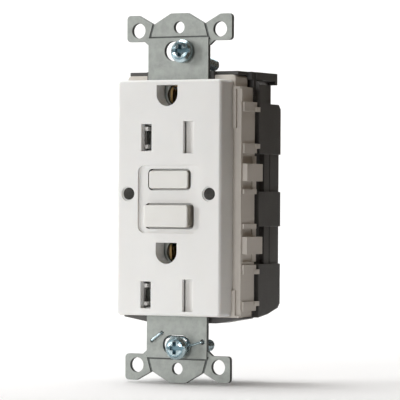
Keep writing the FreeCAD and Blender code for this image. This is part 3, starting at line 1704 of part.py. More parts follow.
def make_lenses():
    """Lens and light pipe in one clear piece, from the face back to the lamp."""
    for n, (place, side) in enumerate((("left", "-1"), ("right", "1"))):
        centre = (f"{side} * lens_x", "lens_z")
        lens = rod(f"lens_head_{n}", "y", centre, "lens_r", "lens_front", "lens_front + lens_head")
        pipe = rod(f"lens_pipe_{n}", "y", centre, "pipe_r", "lens_front", "pipe_end")
        node(fuse(f"indicator_lens_{place}", lens, pipe))


# ---- Tamper shutters ----------------------------------------------------------------------


def make_shutters():
    """Sliding shutter for each outlet, its tray and the spring that closes it."""
    for outlet in SLOTS:
        middle = f"{outlet}_z"
        plate = block(f"{outlet}_shutter_plate", ("shutter_left", "shutter_right"),
                      ("shutter_front", "shutter_back"), around(middle, "shutter_tall"))
        wedge = slab_along_z(
            f"{outlet}_shutter_wedge",
            [
                ("wedge_left", "shutter_front + overlap / 5"),
                ("shutter_right", "shutter_front + overlap / 5"),
                ("shutter_right", "wedge_front"),
                ("wedge_left", "wedge_low"),
            ],
            f"{middle} - wedge_tall",
            f"{middle} + wedge_tall",
        )
        fork = block(f"{outlet}_fork", ("shutter_left - 1", "shutter_edge"), THROUGH,
                     around(middle, "fork_half"))
        window = block(f"{outlet}_window", ("window_left", "window_right"), THROUGH,
                       around(middle, "window_tall"))
        pocket_x = ("pocket_left", "pocket_right")
        room = block(f"{outlet}_spring_room", pocket_x, THROUGH, around(middle, "pocket_tall"))
        solid = fuse(f"{outlet}_shutter_solid", plate, wedge)
        node(cut(f"shutter_{outlet}", solid, fork, window, room))
        node(shutter_tray(outlet, middle))
        base = ("pocket_left", "(shutter_front + shutter_back) / 2", middle)
        gap = "post_left - pocket_left"
        radius = "(shutter_back - shutter_front) / 2 - play"
        turns = "shutter_turns"
        node(coil(f"shutter_spring_{outlet}", base, (1, 0, 0), gap, radius, "hair_wire", turns))


def shutter_tray(outlet, middle):
    """Plate behind a shutter, with the spring's post, two pegs and the blades' openings."""
    plate = block(f"{outlet}_tray_plate", ("tray_left", "tray_right"), ("tray_front", "tray_back"),
                  around(middle, "tray_tall"))
    stands = [
        block(f"{outlet}_tray_post", ("post_left", "post_right"), ("post_front", "tray_back"),
              around(middle, "pocket_tall - 2 * play"))
    ]
    openings = [
        block(f"{outlet}_tray_{pole}", around(f"{side} * blade_x", "tray_way_half"), THROUGH,
              around(middle, "window_tall"))
        for pole, side in SIDES.items()
    ]
    gap_x = ("tray_left + overlap", "-blade_x")
    openings.append(block(f"{outlet}_tray_gap", gap_x, THROUGH, around(middle, "peg_low")))
    for n, end in enumerate(ENDS):
        peg_z = sorted((f"{middle} + {end} * peg_low", f"{middle} + {end} * peg_high"), key=size)
        peg_x = ("peg_left", "peg_right")
        stands.append(block(f"{outlet}_peg_{n}", peg_x, ("peg_front", "tray_back"), peg_z))
        gap_z = sorted((f"{middle} + {end} * peg_high", f"{middle} + {end} * window_tall"), key=size)
        openings.append(block(f"{outlet}_gap_{n}", gap_x, THROUGH, gap_z))
    return cut(f"shutter_tray_{outlet}", fuse(f"{outlet}_tray_solid", plate, *stands), *openings)


def slab_along_z(name, points, low, high):
    """Body with a flat outline in XY, between two heights."""
    body = new_body(name)
    drawing = sketch(body, "XY_Plane", low)
    polygon(drawing, points)
    pad(body, drawing, f"({high}) - ({low})")
    return body


# ---- Build ------------------------------------------------------------------------------


def check():
    """Stop if any object failed, or any sub-part's shape is null or invalid."""
    DOC.recompute()
    for item in DOC.Objects:
        if "Invalid" in item.State or "Error" in item.State:
            raise RuntimeError(f"{item.Label}: {item.State}")
    for item in NODES:
        if item.Shape.isNull() or not item.Shape.isValid() or not item.Shape.Solids:
            raise RuntimeError(f"{item.Label}: the shape is null, open or not valid")


def export():
    """Write each sub-part to its own STEP file."""
    os.makedirs("parts", exist_ok=True)
    for item in NODES:
        item.Shape.exportStep(f"parts/{item.Label}.step")
        print(f"{item.Label}: {len(item.Shape.Solids)} solid, {item.Shape.Volume:.1f} mm3")


def main():
    fill_sheet()
    make_strap()
    make_clip()
    mounting_screw("upper", math.radians(size("mount_tilt")))
    mounting_screw("lower", 0.0)
    make_retainer()
    make_cover()
    make_middle()
    make_rear()
    make_assembly_screws()
    make_buses()
    make_earths()
    make_wiring()
    make_board()
    make_parts_on_board()
    make_solenoid()
    make_carriage()
    make_test()
    make_reset()
    make_lenses()
    make_shutters()
    check()
    export()
    print(len(NODES), "sub-parts")


main()
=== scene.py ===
"""Looks of a ground-fault receptacle on its metal mounting strap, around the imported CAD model."""

import json
import math

import bmesh
import bpy
from mathutils import Matrix, Vector


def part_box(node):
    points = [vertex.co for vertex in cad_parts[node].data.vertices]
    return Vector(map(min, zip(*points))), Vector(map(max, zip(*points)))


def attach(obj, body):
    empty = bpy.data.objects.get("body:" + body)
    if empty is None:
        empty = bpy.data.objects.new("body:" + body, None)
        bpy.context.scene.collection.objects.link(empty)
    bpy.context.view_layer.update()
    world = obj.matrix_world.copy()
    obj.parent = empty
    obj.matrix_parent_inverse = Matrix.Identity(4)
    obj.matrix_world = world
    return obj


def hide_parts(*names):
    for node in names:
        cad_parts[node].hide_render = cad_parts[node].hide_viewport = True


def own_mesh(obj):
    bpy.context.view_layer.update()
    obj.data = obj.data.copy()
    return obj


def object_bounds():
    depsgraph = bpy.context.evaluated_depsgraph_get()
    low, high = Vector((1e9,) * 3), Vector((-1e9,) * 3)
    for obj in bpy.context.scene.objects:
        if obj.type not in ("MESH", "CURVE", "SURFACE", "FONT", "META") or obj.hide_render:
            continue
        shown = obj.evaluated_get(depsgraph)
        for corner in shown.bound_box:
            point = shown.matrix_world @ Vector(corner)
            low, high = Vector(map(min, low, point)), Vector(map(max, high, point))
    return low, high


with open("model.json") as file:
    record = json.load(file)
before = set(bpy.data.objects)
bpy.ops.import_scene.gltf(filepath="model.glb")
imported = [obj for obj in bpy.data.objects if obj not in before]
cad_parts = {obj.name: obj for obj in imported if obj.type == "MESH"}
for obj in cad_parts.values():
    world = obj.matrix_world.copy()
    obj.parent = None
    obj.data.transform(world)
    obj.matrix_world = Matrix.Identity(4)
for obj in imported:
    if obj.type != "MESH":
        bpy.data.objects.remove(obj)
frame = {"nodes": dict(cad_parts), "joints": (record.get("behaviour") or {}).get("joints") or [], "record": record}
CAD_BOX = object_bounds()
NODES = frame["nodes"]
MM = 0.001
X, Y, Z = range(3)

BODY_OF = {
    node: body
    for body, members in frame["record"]["behaviour"]["bodies"].items()
    for node in members
}
SLOT_OF = {part["node"]: part["material_slot"] for part in frame["record"]["subparts"]}


# ---- Materials -------------------------------------------------------------------

# Nearly all of a noise lies between these two values
NOISE_LOW = 0.3
NOISE_HIGH = 0.7

# Stretch of a metal's grain along X, Y and Z
EVEN = (1.0, 1.0, 1.0)
BRUSHED = (1.0, 1.0, 0.4)
DRAWN = (1.0, 1.0, 0.2)

PLASTIC_GLOSS = 0.45
# How far red, green and blue light spread inside white plastic, in metres
SCATTER = (0.0012, 0.0010, 0.0008)
PAPER_VARY = 0.02


def tinted(colour, factor):
    return tuple(min(1.0, channel * factor) for channel in colour)


class Maker:
    """A node tree with short ways to add and join nodes."""

    def __init__(self, name):
        self.material = bpy.data.materials.new(name)
        self.material.use_nodes = True
        self.tree = self.material.node_tree
        self.shader = self.tree.nodes["Principled BSDF"]
        self.place = self.add("ShaderNodeTexCoord").outputs["Object"]

    def add(self, kind, **values):
        """New node with values on its sockets."""
        node = self.tree.nodes.new(kind)
        for socket, value in values.items():
            node.inputs[socket].default_value = value
        return node

    def link(self, source, target):
        self.tree.links.new(source, target)

    def set(self, socket, value):
        """One value all over the surface, on the shader's own socket."""
        self.shader.inputs[socket].default_value = value

    def noise(self, scale, detail=4.0, roughness=0.55, stretch=None):
        """Noise over the object's own coordinates; scale is in features per metre."""
        texture = self.add("ShaderNodeTexNoise", Scale=scale, Detail=detail, Roughness=roughness)
        source = self.place
        if stretch:
            mapping = self.add("ShaderNodeMapping", Scale=stretch)
            self.link(source, mapping.inputs["Vector"])
            source = mapping.outputs["Vector"]
        self.link(source, texture.inputs["Vector"])
        return texture.outputs["Fac"]

    def colour(self, source, colour, stops):
        """Base colour: one colour, brighter or darker by the (position, factor) stops."""
        ramp = self.add("ShaderNodeValToRGB")
        elements = ramp.color_ramp.elements
        while len(elements) < len(stops):
            elements.new(0.5)
        for element, (position, factor) in zip(elements, stops):
            element.position = position
            element.color = (*tinted(colour, factor), 1.0)
        self.link(source, ramp.inputs["Fac"])
        self.link(ramp.outputs["Color"], self.shader.inputs["Base Color"])

    def roughness(self, source, low, high):
        """Roughness that follows a noise from low to high."""
        spread = self.add("ShaderNodeMapRange")
        limits = {"From Min": NOISE_LOW, "From Max": NOISE_HIGH, "To Min": low, "To Max": high}
        for socket, value in limits.items():
            spread.inputs[socket].default_value = value
        self.link(source, spread.inputs["Value"])
        self.link(spread.outputs["Result"], self.shader.inputs["Roughness"])

    def bump(self, source, height):
        """Bump of a height in metres, chained onto any bump already on the shader."""
        node = self.add("ShaderNodeBump", Distance=height, Strength=1.0)
        normal = self.shader.inputs["Normal"]
        if normal.is_linked:
            self.link(normal.links[0].from_socket, node.inputs["Normal"])
        self.link(source, node.inputs["Height"])
        self.link(node.outputs["Normal"], normal)


def plastic(name, colour, rough, vary, grain, subsurface=0.0):
    """Moulded plastic: faint cloudiness, a fine textured skin and a few broad sink marks."""
    maker = Maker(name)
    clouds = maker.noise(scale=90, detail=3)
    maker.colour(clouds, colour, [(NOISE_LOW, 1 - vary), (NOISE_HIGH, 1 + vary)])
    skin = maker.noise(scale=2600, detail=2)
    maker.roughness(skin, low=rough - 0.05, high=rough + 0.06)
    maker.set("Specular IOR Level", PLASTIC_GLOSS)
    if subsurface:
        maker.set("Subsurface Weight", subsurface)
        maker.set("Subsurface Radius", SCATTER)
        maker.set("Subsurface Scale", 1.0)
    maker.bump(skin, height=grain * MM)
    sink_marks = maker.noise(scale=160, detail=1)
    maker.bump(sink_marks, height=0.02 * MM)
    return maker.material


def metal(name, colour, rough, vary, brushed=EVEN, spots=0.0, dull=0.0):
    """Bare or plated metal: mottled plating, fine scratches and uneven shine."""
    maker = Maker(name)
    maker.set("Metallic", 1.0 - dull)
    mottle = maker.noise(scale=420, detail=6, roughness=0.65)
    maker.colour(mottle, colour, [(0.32, 1 - vary), (0.5, 1), (0.7, 1 + vary)])
    grain = maker.noise(scale=1500, detail=3, roughness=0.6, stretch=brushed)
    maker.roughness(grain, low=rough - 0.08, high=rough + 0.10)
    maker.bump(grain, height=0.004 * MM)
    if spots:
        maker.bump(mottle, height=spots * MM)
    return maker.material


def translucent(name, colour, rough):
    """Smoked or diffused clear plastic with faint swirls and a glossy coat."""
    maker = Maker(name)
    swirl = maker.noise(scale=500, detail=3)
    maker.colour(swirl, colour, [(0.35, 0.8), (0.65, 1.25)])
    maker.roughness(swirl, low=rough - 0.04, high=rough + 0.06)
    maker.set("Coat Weight", 0.6)
    maker.set("Coat Roughness", 0.08)
    ripples = maker.noise(scale=900, detail=2)
    maker.bump(ripples, height=0.004 * MM)
    return maker.material


def laminate(name):
    """Circuit board: green solder mask over a faint cloth weave with copper tracks below it."""
    maker = Maker(name)
    weave = maker.add("ShaderNodeTexWave", Scale=900, Distortion=0.6)
    maker.link(maker.place, weave.inputs["Vector"])
    greens = {
        "Color1": (0.020, 0.135, 0.045, 1),
        "Color2": (0.028, 0.170, 0.060, 1),
        "Mortar": (0.055, 0.230, 0.080, 1),
    }
    tracks = maker.add("ShaderNodeTexBrick", Scale=120, **greens)
    upright = maker.add("ShaderNodeMapping", Rotation=(math.pi / 2, 0, 0))
    maker.link(maker.place, upright.inputs["Vector"])
    maker.link(upright.outputs["Vector"], tracks.inputs["Vector"])
    maker.link(tracks.outputs["Color"], maker.shader.inputs["Base Color"])
    maker.roughness(maker.noise(scale=700), low=0.30, high=0.42)
    maker.bump(weave.outputs["Fac"], height=0.006 * MM)
    maker.bump(tracks.outputs["Fac"], height=0.02 * MM)
    return maker.material


def fibrous(name, colour):
    """Pressed fibre with short pale and dark strands."""
    maker = Maker(name)
    strands = maker.noise(scale=1400, detail=5, roughness=0.7, stretch=(1.0, 0.2, 1.0))
    maker.colour(strands, colour, [(0.3, 0.6), (0.55, 1), (0.75, 1.5)])
    maker.roughness(strands, low=0.75, high=0.9)
    maker.bump(strands, height=0.03 * MM)
    return maker.material


def paper(name, colour):
    """Matt paper or card with faint clouds."""
    maker = Maker(name)
    clouds = maker.noise(scale=6, detail=2)
    maker.colour(clouds, colour, [(NOISE_LOW, 1 - PAPER_VARY), (NOISE_HIGH, 1 + PAPER_VARY)])
    maker.set("Roughness", 0.9)
    maker.set("Specular IOR Level", 0.1)
    return maker.material


COVER_WHITE = (0.83, 0.83, 0.815)
BUTTON_WHITE = (0.80, 0.795, 0.765)
STRAP_ZINC = (0.335, 0.355, 0.335)

# One finish for each material slot in the record
FINISHES = {
    "cover": plastic("cover_white", COVER_WHITE, rough=0.42, vary=0.015, grain=0.003, subsurface=0.12),
    "button": plastic("button_white", BUTTON_WHITE, rough=0.40, vary=0.02, grain=0.003, subsurface=0.10),
    "housing_light": plastic("housing_pale", (0.66, 0.62, 0.57), rough=0.50, vary=0.03, grain=0.006),
    "housing_dark": plastic("housing_charcoal", (0.082, 0.080, 0.077), rough=0.50, vary=0.10, grain=0.010),
    "strap_steel": metal(
        "strap_zinc", STRAP_ZINC, rough=0.50, vary=0.13, brushed=BRUSHED, spots=0.008, dull=0.45
    ),
    "screw_steel": metal("screw_zinc", (0.50, 0.62, 0.66), rough=0.24, vary=0.14, spots=0.006),
    "spring_steel": metal("spring_wire", (0.60, 0.61, 0.63), rough=0.28, vary=0.08),
    "fibre": fibrous("washer_fibre", (0.36, 0.10, 0.06)),
    "brass": metal("contact_brass", (0.60, 0.41, 0.18), rough=0.30, vary=0.10, brushed=DRAWN),
    "contact_metal": metal("contact_silver", (0.82, 0.81, 0.78), rough=0.22, vary=0.06),
    "wire_black": plastic("wire_black", (0.02, 0.02, 0.022), rough=0.45, vary=0.10, grain=0.01),
    "wire_white": plastic("wire_white", (0.72, 0.72, 0.70), rough=0.45, vary=0.03, grain=0.01),
    "board": laminate("board_green"),
    "capacitor": plastic("capacitor_yellow", (0.62, 0.42, 0.05), rough=0.25, vary=0.06, grain=0.004),
    "varistor": plastic("varistor_blue", (0.02, 0.07, 0.30), rough=0.22, vary=0.10, grain=0.02),
    "chip": plastic("chip_black", (0.025, 0.025, 0.027), rough=0.55, vary=0.10, grain=0.01),
    "lamp": translucent("lamp_milky", (0.70, 0.68, 0.60), rough=0.30),
    "resistor": plastic("resistor_tan", (0.55, 0.40, 0.24), rough=0.35, vary=0.12, grain=0.01),
    "ferrite": metal("core_coating", (0.10, 0.10, 0.11), rough=0.50, vary=0.15, spots=0.01, dull=0.6),
    "winding": metal("winding_copper", (0.66, 0.27, 0.10), rough=0.28, vary=0.15),
    "moving_plastic": plastic("moulding_grey", (0.10, 0.10, 0.11), rough=0.45, vary=0.08, grain=0.008),
    "shutter": plastic("shutter_grey", (0.84, 0.83, 0.81), rough=0.50, vary=0.05, grain=0.006),
    "lens": translucent("lens_smoke", (0.038, 0.037, 0.034), rough=0.22),
}

# Darker finishes painted on parts of a piece: painted shade on the key sides, the key mouths, the screws' drive
# recesses and the strap's groove floors (with some dirt there too), and dull bare metal on the strap's sheared
# edges
# Strap: dull bare metal on its sheared edges, and painted shade with some dirt on its groove floors
BARE_EDGE_AND_GROOVE_SHADE_FINISH = metal("strap_bare_edge_and_groove_shade", (0.13, 0.14, 0.135), rough=0.55, vary=0.2, spots=0.01, dull=0.5)
# Painted shade in the screws' drive recesses
RECESS_PAINTED_SHADE_FINISH = metal("recess_painted_shade", (0.17, 0.28, 0.33), rough=0.34, vary=0.25, spots=0.01, dull=0.3)
# Painted shade on the sides of the white keys
KEY_SIDE_SHADE_FINISH = plastic("button_side_painted_shade", (0.40, 0.37, 0.32), rough=0.45, vary=0.03, grain=0.004)
# Painted shade, nearly black, on the walls of the openings in the white cover that the keys sit in
MOUTH_SHADE_FINISH = plastic("shaded_mouth_wall", (0.055, 0.050, 0.046), rough=0.55, vary=0.04, grain=0.004)


def finish_nodes():
    """Each CAD node gets its slot's finish."""
    for name, node in NODES.items():
        material = FINISHES[SLOT_OF[name]]
        if not node.material_slots:
            node.data.materials.append(material)
        for slot in node.material_slots:
            slot.link = "OBJECT"
            slot.material = material


# ---- Pieces that stand for CAD nodes ------------------------------------------------

# Corners this near each other are one, and faces that meet at less than this angle are one flat
SAME_PLACE = 1e-7
FLAT_ANGLE = math.radians(1.0)
# Edges sharper than this are rounded
ROUNDED_ANGLE = math.radians(32)
ROUNDING_SEGMENTS = 2

# Polygons whose normal has more of Y than this face the front or the back
FACING = 0.7
KEY_FACING = 0.5
# The floors of the grooves in the strap's ears lie between these depths; they get painted shade
GROOVE_FRONT = -1.25 * MM
GROOVE_BACK = -0.8 * MM
# The walls of the key mouths lie behind this depth, and this near the middle of the face; they get painted shade
MOUTH_FRONT = -6.5 * MM
MOUTH_REACH = 9.2 * MM

# Box screws: 32 threads to the inch
THREAD_PITCH = 25.4 * MM / 32
THREAD_DEEP = 0.42 * MM
THREAD_R = 1.75 * MM
SHANK_LONG = 20.0 * MM
POINT_LONG = 0.9 * MM
# How much the tip narrows, in depths of the thread
POINT_DEPTHS = 1.3
# Corners round the shank, and rows of them in one turn of the thread
AROUND = 28
PER_TURN = 9
# The node's own shape is kept down to this far below the head's seat
UNDER_HEAD = 0.3 * MM
# Polygons of a head this near its axis, and this far below its top, count as its drive recess, which gets painted
# shade
RECESS_REACH = 2.6 * MM
RECESS_SHADE = 0.12 * MM

# Flat closed turns at each end of a coil spring, and the fineness of its wire
END_TURNS = 0.75
STEPS_PER_TURN = 20
WIRE_SIDES = 8

# Solenoid winding: half a row's height, the depth of the rows, and their fineness
WINDING_WIRE = 0.16 * MM
WINDING_DEEP = 0.8 * MM
WINDING_SIDES = 40
STEPS_PER_ROW = 4


def new_piece(name, shape, node):
    """Object made from a bmesh; it rides on the node's body and stands for the node."""
    mesh = bpy.data.meshes.new(name)
    shape.to_mesh(mesh)
    shape.free()
    piece = bpy.data.objects.new(name, mesh)
    bpy.context.scene.collection.objects.link(piece)
    piece.data.materials.append(FINISHES[SLOT_OF[node]])
    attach(piece, BODY_OF[node])
    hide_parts(node)
    return piece


def copy_of(node):
    """The node's own shape as a bmesh."""
    shape = bmesh.new()
    shape.from_mesh(NODES[node].data)
    return shape


def smooth(piece, sharp_above):
    """Smooth shading except across edges sharper than the angle in degrees."""
    for polygon in piece.data.polygons:
        polygon.use_smooth = True
    piece.data.set_sharp_from_angle(angle=math.radians(sharp_above))


def refinish(piece, finish, chosen):
    """Another finish on the polygons that the test picks."""
    piece.data.materials.append(finish)
    for polygon in piece.data.polygons:
        if chosen(polygon):
            polygon.material_index = 1


def softened(node, rounding):
    """The node's own shape with its flats joined up and every edge slightly rounded."""
    shape = copy_of(node)
    bmesh.ops.remove_doubles(shape, verts=shape.verts, dist=SAME_PLACE)
    bmesh.ops.dissolve_limit(
        shape, angle_limit=FLAT_ANGLE, verts=shape.verts, edges=shape.edges
    )
    piece = new_piece(f"{node}_shell", shape, node)
    bevel = piece.modifiers.new("edges", "BEVEL")
    bevel.width = rounding
    bevel.segments = ROUNDING_SEGMENTS
    bevel.limit_method = "ANGLE"
    bevel.angle_limit = ROUNDED_ANGLE
    bevel.use_clamp_overlap = True
    for polygon in piece.data.polygons:
        polygon.use_smooth = True
    weighted = piece.modifiers.new("flats", "WEIGHTED_NORMAL")
    weighted.mode = "FACE_AREA"
    weighted.weight = 100
    return piece


def bare_edge_or_shaded_groove(polygon):
    """Sheared edge of the strap, dull bare metal, or the floor of a scored or creased groove, darkened as painted
    shade with some dirt.
    """
    groove = GROOVE_FRONT < polygon.center.y < GROOVE_BACK
    return abs(polygon.normal.y) < FACING or groove


def shaded_key_side(polygon):
    """Side of a key, not its front or back, darkened as painted shade."""
    return abs(polygon.normal.y) < KEY_FACING


def shaded_mouth_wall(polygon):
    """Wall of one of the openings that the keys sit in, darkened as painted shade."""
    across, deep, up = polygon.center
    inside = abs(across) < MOUTH_REACH and abs(up) < MOUTH_REACH and deep > MOUTH_FRONT
    return inside and abs(polygon.normal.y) < FACING


def threaded_screw(node):
    """The node's own head on a shank with a real helical thread."""
    joint = next(joint for joint in frame["joints"] if joint["child"] == BODY_OF[node])
    outward = Vector(joint["axis"]).normalized()
    base = Vector(joint["pos_m"])
    shape = copy_of(node)
    cut = bmesh.ops.bisect_plane(
        shape,
        geom=shape.verts[:] + shape.edges[:] + shape.faces[:],
        plane_co=base - outward * UNDER_HEAD,
        plane_no=outward,
        clear_inner=True,
    )
    rim = [item for item in cut["geom_cut"] if isinstance(item, bmesh.types.BMEdge)]
    bmesh.ops.holes_fill(shape, edges=rim)
    turn = outward.to_track_quat("Z", "Y").to_matrix().to_4x4()
    thread(shape, Matrix.Translation(base) @ turn)
    top = max((vert.co - base).dot(outward) for vert in shape.verts) - RECESS_SHADE

    def in_shaded_recess(polygon):
        offset = polygon.center - base
        height = offset.dot(outward)
        from_axis = (offset - outward * height).length
        return from_axis < RECESS_REACH and 0 < height < top

    piece = new_piece(f"{node}_threaded", shape, node)
    smooth(piece, sharp_above=40)
    # Painted shade in the drive recess
    refinish(piece, RECESS_PAINTED_SHADE_FINISH, in_shaded_recess)


def thread(shape, place):
    """Closed threaded shank from just inside the head down to the tip."""
    rows = []
    count = int(SHANK_LONG / THREAD_PITCH * PER_TURN)
    for row in range(count + 1):
        height = SHANK_LONG * row / count
        to_tip = min(1.0, (SHANK_LONG - height) / POINT_LONG)
        ring = []
        for step in range(AROUND):
            angle = math.tau * step / AROUND
            phase = (height / THREAD_PITCH - step / AROUND) % 1.0
            groove = 1.0 - abs(2 * phase - 1.0)
            radius = THREAD_R - THREAD_DEEP * max(groove, POINT_DEPTHS * (1.0 - to_tip))
            point = Vector((radius * math.cos(angle), radius * math.sin(angle), -height))
            ring.append(shape.verts.new(place @ point))
        rows.append(ring)
    for upper, lower in zip(rows, rows[1:]):
        for step in range(AROUND):
            after = (step + 1) % AROUND
            shape.faces.new((upper[step], lower[step], lower[after], upper[after]))
    shape.faces.new(rows[0])
    shape.faces.new(rows[-1][::-1])


def bridge(shape, first, second):
    """Faces between two rings of corners."""
    for k in range(len(first)):
        after = (k + 1) % len(first)
        shape.faces.new((first[k], first[after], second[after], second[k]))


def tube(shape, points, radius):
    """Closed round wire along points."""
    rings = []
    normal = None
    for index, point in enumerate(points):
        ahead = points[min(index + 1, len(points) - 1)] - points[max(index - 1, 0)]
        ahead.normalize()
        if normal is None:
            normal = ahead.orthogonal().normalized()
        normal = (normal - ahead * normal.dot(ahead)).normalized()
        across = ahead.cross(normal)
        rings.append([
            shape.verts.new(point + (normal * math.cos(a) + across * math.sin(a)) * radius)
            for a in (math.tau * k / WIRE_SIDES for k in range(WIRE_SIDES))
        ])
    for first, second in zip(rings, rings[1:]):
        bridge(shape, first, second)
    shape.faces.new(rings[0][::-1])
    shape.faces.new(rings[-1])


def press(piece, node, axis, fixed_high):
    """Give a spring its own mesh; its held end along the axis is worked out as an anchor, but the spring is not
    shortened.
    """
    low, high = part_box(node)
    anchor = [(a + b) / 2 for a, b in zip(low, high)]
    anchor[axis] = high[axis] if fixed_high else low[axis]
    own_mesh(piece)


def leaf_spring(node, axis, fixed_high):
    """The node's own bent strip."""
    piece = new_piece(f"{node}_pressed", copy_of(node), node)
    smooth(piece, sharp_above=30)
    press(piece, node, axis, fixed_high)


def coil_spring(node, axis, fixed_high, wire, turns):
    """Wound spring with flat closed ends in the node's box."""
    low, high = (Vector(corner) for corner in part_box(node))
    middle = (low + high) / 2
    others = [k for k in (X, Y, Z) if k != axis]
    radius = min((high - low)[k] for k in others) / 2 - wire
    start, end = low[axis] + wire, high[axis] - wire
    all_turns = turns + 2 * END_TURNS
    steps = int(all_turns * STEPS_PER_TURN)
    points = []
    for step in range(steps + 1):
        turn = all_turns * step / steps
        along = min(max(turn - END_TURNS, 0.0), turns) / turns
        point = middle.copy()
        point[axis] = start + (end - start) * along
        point[others[0]] += radius * math.cos(math.tau * turn)
        point[others[1]] += radius * math.sin(math.tau * turn)
        points.append(point)
    shape = bmesh.new()
    tube(shape, points, wire)
    piece = new_piece(f"{node}_wound", shape, node)
    smooth(piece, sharp_above=50)
    press(piece, node, axis, fixed_high)


def wound_coil(node):
    """Winding round Z as close rows of round wire, hollow inside."""
    low, high = (Vector(corner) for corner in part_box(node))
    middle = (low + high) / 2
    outer = (high.x - low.x) / 2
    row_high = 2 * WINDING_WIRE
    rows = int((high.z - low.z) / row_high)
    top = low.z + row_high * rows
    angles = [math.pi * k / STEPS_PER_ROW for k in range(STEPS_PER_ROW)]
    profile = []
    for row in range(rows):
        base = low.z + row_high * row
        profile += [
            (outer - WINDING_WIRE * (1 - math.sin(a)), base + WINDING_WIRE * (1 - math.cos(a)))
            for a in angles
        ]
    inner = outer - WINDING_DEEP
    profile += [(outer - WINDING_WIRE, top), (inner, top), (inner, low.z)]
    shape = bmesh.new()
    rings = [
        [
            shape.verts.new((middle.x + r * math.cos(a), middle.y + r * math.sin(a), z))
            for a in (math.tau * k / WINDING_SIDES for k in range(WINDING_SIDES))
        ]
        for r, z in profile
    ]
    for first, second in zip(rings, rings[1:] + rings[:1]):
        bridge(shape, first, second)
    piece = new_piece(f"{node}_wound", shape, node)
    smooth(piece, sharp_above=60)


def make_pieces():
    """Everything that is finer than its CAD node."""
    # Painted shade on the walls of the key mouths in the white cover
    refinish(softened("face_cover", rounding=0.10 * MM), MOUTH_SHADE_FINISH, shaded_mouth_wall)
    softened("middle_housing", rounding=0.16 * MM)
    softened("rear_housing", rounding=0.22 * MM)
    # Painted shade on the strap's groove floors, dull bare metal on its sheared edges
    refinish(softened("mounting_strap", rounding=0.12 * MM), BARE_EDGE_AND_GROOVE_SHADE_FINISH, bare_edge_or_shaded_groove)
    for key in ("test_button", "reset_button"):
        # Painted shade on the sides of the keys
        refinish(softened(key, rounding=0.08 * MM), KEY_SIDE_SHADE_FINISH, shaded_key_side)
    for screw in ("mounting_screw_upper", "mounting_screw_lower"):
        threaded_screw(screw)
    for key, turns in (("test", 3.5), ("reset", 5)):
        node = f"{key}_return_spring"
        coil_spring(node, axis=Y, fixed_high=True, wire=0.19 * MM, turns=turns)
    coil_spring("plunger_spring", axis=Z, fixed_high=False, wire=0.16 * MM, turns=4)
    for outlet in ("upper", "lower"):
        node = f"shutter_spring_{outlet}"
        coil_spring(node, axis=X, fixed_high=True, wire=0.09 * MM, turns=9)
    leaf_spring("test_contact_spring", axis=Y, fixed_high=True)
    wound_coil("solenoid_coil")


# ---- Floor, light and camera ----------------------------------------------------------

# Camera: how far round to the right of the face, how high, how tilted, and how far away
CAMERA_TURN = math.radians(28.307)
CAMERA_RISE = math.radians(-0.168)
CAMERA_ROLL = math.radians(0.338)
CAMERA_DISTANCE = 0.816
# Its aim, to the right of the origin and below it
AIM_RIGHT = 0.00558
AIM_DOWN = 0.00057
# Focal length and film width in millimetres, and the nearest thing that it sees in metres
CAMERA_LENS = 258.7
CAMERA_FILM = 36.0
CAMERA_NEAR = 0.01

# Square lamps, in metres and watts
LAMPS = {
    "key": {"place": (-1.35, -0.85, 0.32), "target": (0, 0, 0), "width": 0.6, "power": 11.5},
    "front": {"place": (-0.08, -1.5, 0.05), "target": (0, 0, 0), "width": 0.3, "power": 6.3},
    "top": {"place": (-0.5, 0.1, 1.2), "target": (0, 0.1, 0), "width": 0.7, "power": 7},
}
# Lamp over the backdrop: how far behind the object it hangs, how high, and where it points
WASH_BACK = 0.4
WASH_HIGH = 1.2
WASH_TARGET = 1.15
WASH_WIDTH = 1.2
WASH_POWER = 11
ROOM_COLOUR = (1.0, 0.93, 0.86, 1)
ROOM_LIGHT = 0.12

# Floor: how far it lies below the object, how far it reaches, and how it bends up behind,
# with one row of corners every BEND_STEP degrees
FLOOR_GAP = 0.0002
FLOOR_REACH = 6.0
BEND_START = 0.7
BEND_R = 0.5
BEND_STEP = 6
BACKDROP_HIGH = 2.2

# Flag: the near and far sides of its foot, half its length, its height, and the lift of its foot
FLAG_NEAR = 0.025
FLAG_FAR = 0.12
FLAG_HALF = 0.55
FLAG_HIGH = 0.6
FLAG_LIFT = 0.012


def make_camera():
    """Long lens to the right of the face, level with its middle."""
    forward = Vector((
        -math.sin(CAMERA_TURN) * math.cos(CAMERA_RISE),
        math.cos(CAMERA_TURN) * math.cos(CAMERA_RISE),
        -math.sin(CAMERA_RISE),
    ))
    right = Vector((math.cos(CAMERA_TURN), math.sin(CAMERA_TURN), 0.0))
    up = right.cross(forward)
    place = -forward * CAMERA_DISTANCE
    tilted_right = right * math.cos(CAMERA_ROLL) + up * math.sin(CAMERA_ROLL)
    tilted_up = up * math.cos(CAMERA_ROLL) - right * math.sin(CAMERA_ROLL)
    target = tilted_right * AIM_RIGHT - tilted_up * AIM_DOWN
    view = (target - place).normalized()
    across = view.cross(tilted_up).normalized()
    upright = across.cross(view)
    camera = bpy.data.objects.new("camera", bpy.data.cameras.new("camera"))
    camera.data.lens = CAMERA_LENS
    camera.data.sensor_width = CAMERA_FILM
    camera.data.clip_start = CAMERA_NEAR
    turn = Matrix((across, upright, -view)).transposed().to_4x4()
    camera.matrix_world = Matrix.Translation(place) @ turn
    bpy.context.scene.collection.objects.link(camera)
    bpy.context.scene.camera = camera
    return right, forward


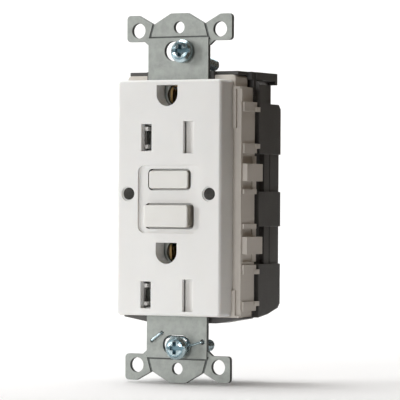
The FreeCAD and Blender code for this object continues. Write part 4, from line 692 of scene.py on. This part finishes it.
def make_lamp(name, place, target, width, power):
    """Square area lamp that points at a target."""
    data = bpy.data.lights.new(name, "AREA")
    data.shape = "RECTANGLE"
    data.size = width
    data.size_y = width
    data.energy = power
    lamp = bpy.data.objects.new(name, data)
    lamp.location = place
    lamp.rotation_euler = (Vector(target) - Vector(place)).to_track_quat("-Z", "Y").to_euler()
    bpy.context.scene.collection.objects.link(lamp)


def stage_object(name, shape, material):
    """Object that isn't part of the receptacle."""
    mesh = bpy.data.meshes.new(name)
    shape.to_mesh(mesh)
    shape.free()
    item = bpy.data.objects.new(name, mesh)
    bpy.context.scene.collection.objects.link(item)
    item.data.materials.append(material)
    return item


def make_floor(right, forward):
    """Pale floor that curves up into a backdrop."""
    low = CAD_BOX[0][2] - FLOOR_GAP
    profile = [(-FLOOR_REACH, 0.0), (BEND_START, 0.0)]
    profile += [
        (BEND_START + BEND_R * math.sin(a), BEND_R - BEND_R * math.cos(a))
        for a in (math.radians(d) for d in range(BEND_STEP, 90 + BEND_STEP, BEND_STEP))
    ]
    profile.append((BEND_START + BEND_R, BACKDROP_HIGH))
    level = Vector((forward.x, forward.y, 0))
    shape = bmesh.new()
    rows = []
    for depth, height in profile:
        row = []
        for side in (-FLOOR_REACH, FLOOR_REACH):
            point = right * side + level * depth
            row.append(shape.verts.new((point.x, point.y, low + height)))
        rows.append(row)
    for near, far in zip(rows, rows[1:]):
        shape.faces.new((near[0], near[1], far[1], far[0])).smooth = True
    stage_object("floor", shape, paper("floor_paper", (0.92, 0.92, 0.92)))


def make_flag():
    """Dark warm card beside the object, out of the picture, that keeps that side in shade."""
    low = CAD_BOX[0][2]
    high = FLAG_HIGH
    lifted = low + FLAG_LIFT
    upright = [
        (FLAG_FAR, -FLAG_HALF, low),
        (FLAG_FAR, FLAG_HALF, low),
        (FLAG_FAR, FLAG_HALF, high),
        (FLAG_FAR, -FLAG_HALF, high),
    ]
    foot = [
        (FLAG_NEAR, -FLAG_HALF, lifted),
        (FLAG_FAR, -FLAG_HALF, lifted),
        (FLAG_FAR, -FLAG_NEAR, lifted),
        (FLAG_NEAR, -3 * FLAG_NEAR, lifted),
    ]
    shape = bmesh.new()
    for corners in (upright, foot):
        shape.faces.new([shape.verts.new(corner) for corner in corners])
    flag = stage_object("flag", shape, paper("flag_card", (0.07, 0.055, 0.04)))
    flag.visible_camera = False
    flag.visible_shadow = False


def make_stage(right, forward):
    """Floor, flag, four soft lamps and a dim room."""
    make_floor(right, forward)
    make_flag()
    for name, lamp in LAMPS.items():
        make_lamp(name, **lamp)
    wash_place = forward * WASH_BACK + Vector((0, 0, WASH_HIGH))
    make_lamp("wash", wash_place, forward * WASH_TARGET, WASH_WIDTH, WASH_POWER)
    world = bpy.data.worlds.new("studio")
    world.use_nodes = True
    backdrop = world.node_tree.nodes["Background"]
    backdrop.inputs["Color"].default_value = ROOM_COLOUR
    backdrop.inputs["Strength"].default_value = ROOM_LIGHT
    bpy.context.scene.world = world
    bpy.context.scene.view_settings.view_transform = "Standard"


finish_nodes()
make_pieces()
right, forward = make_camera()
make_stage(right, forward)
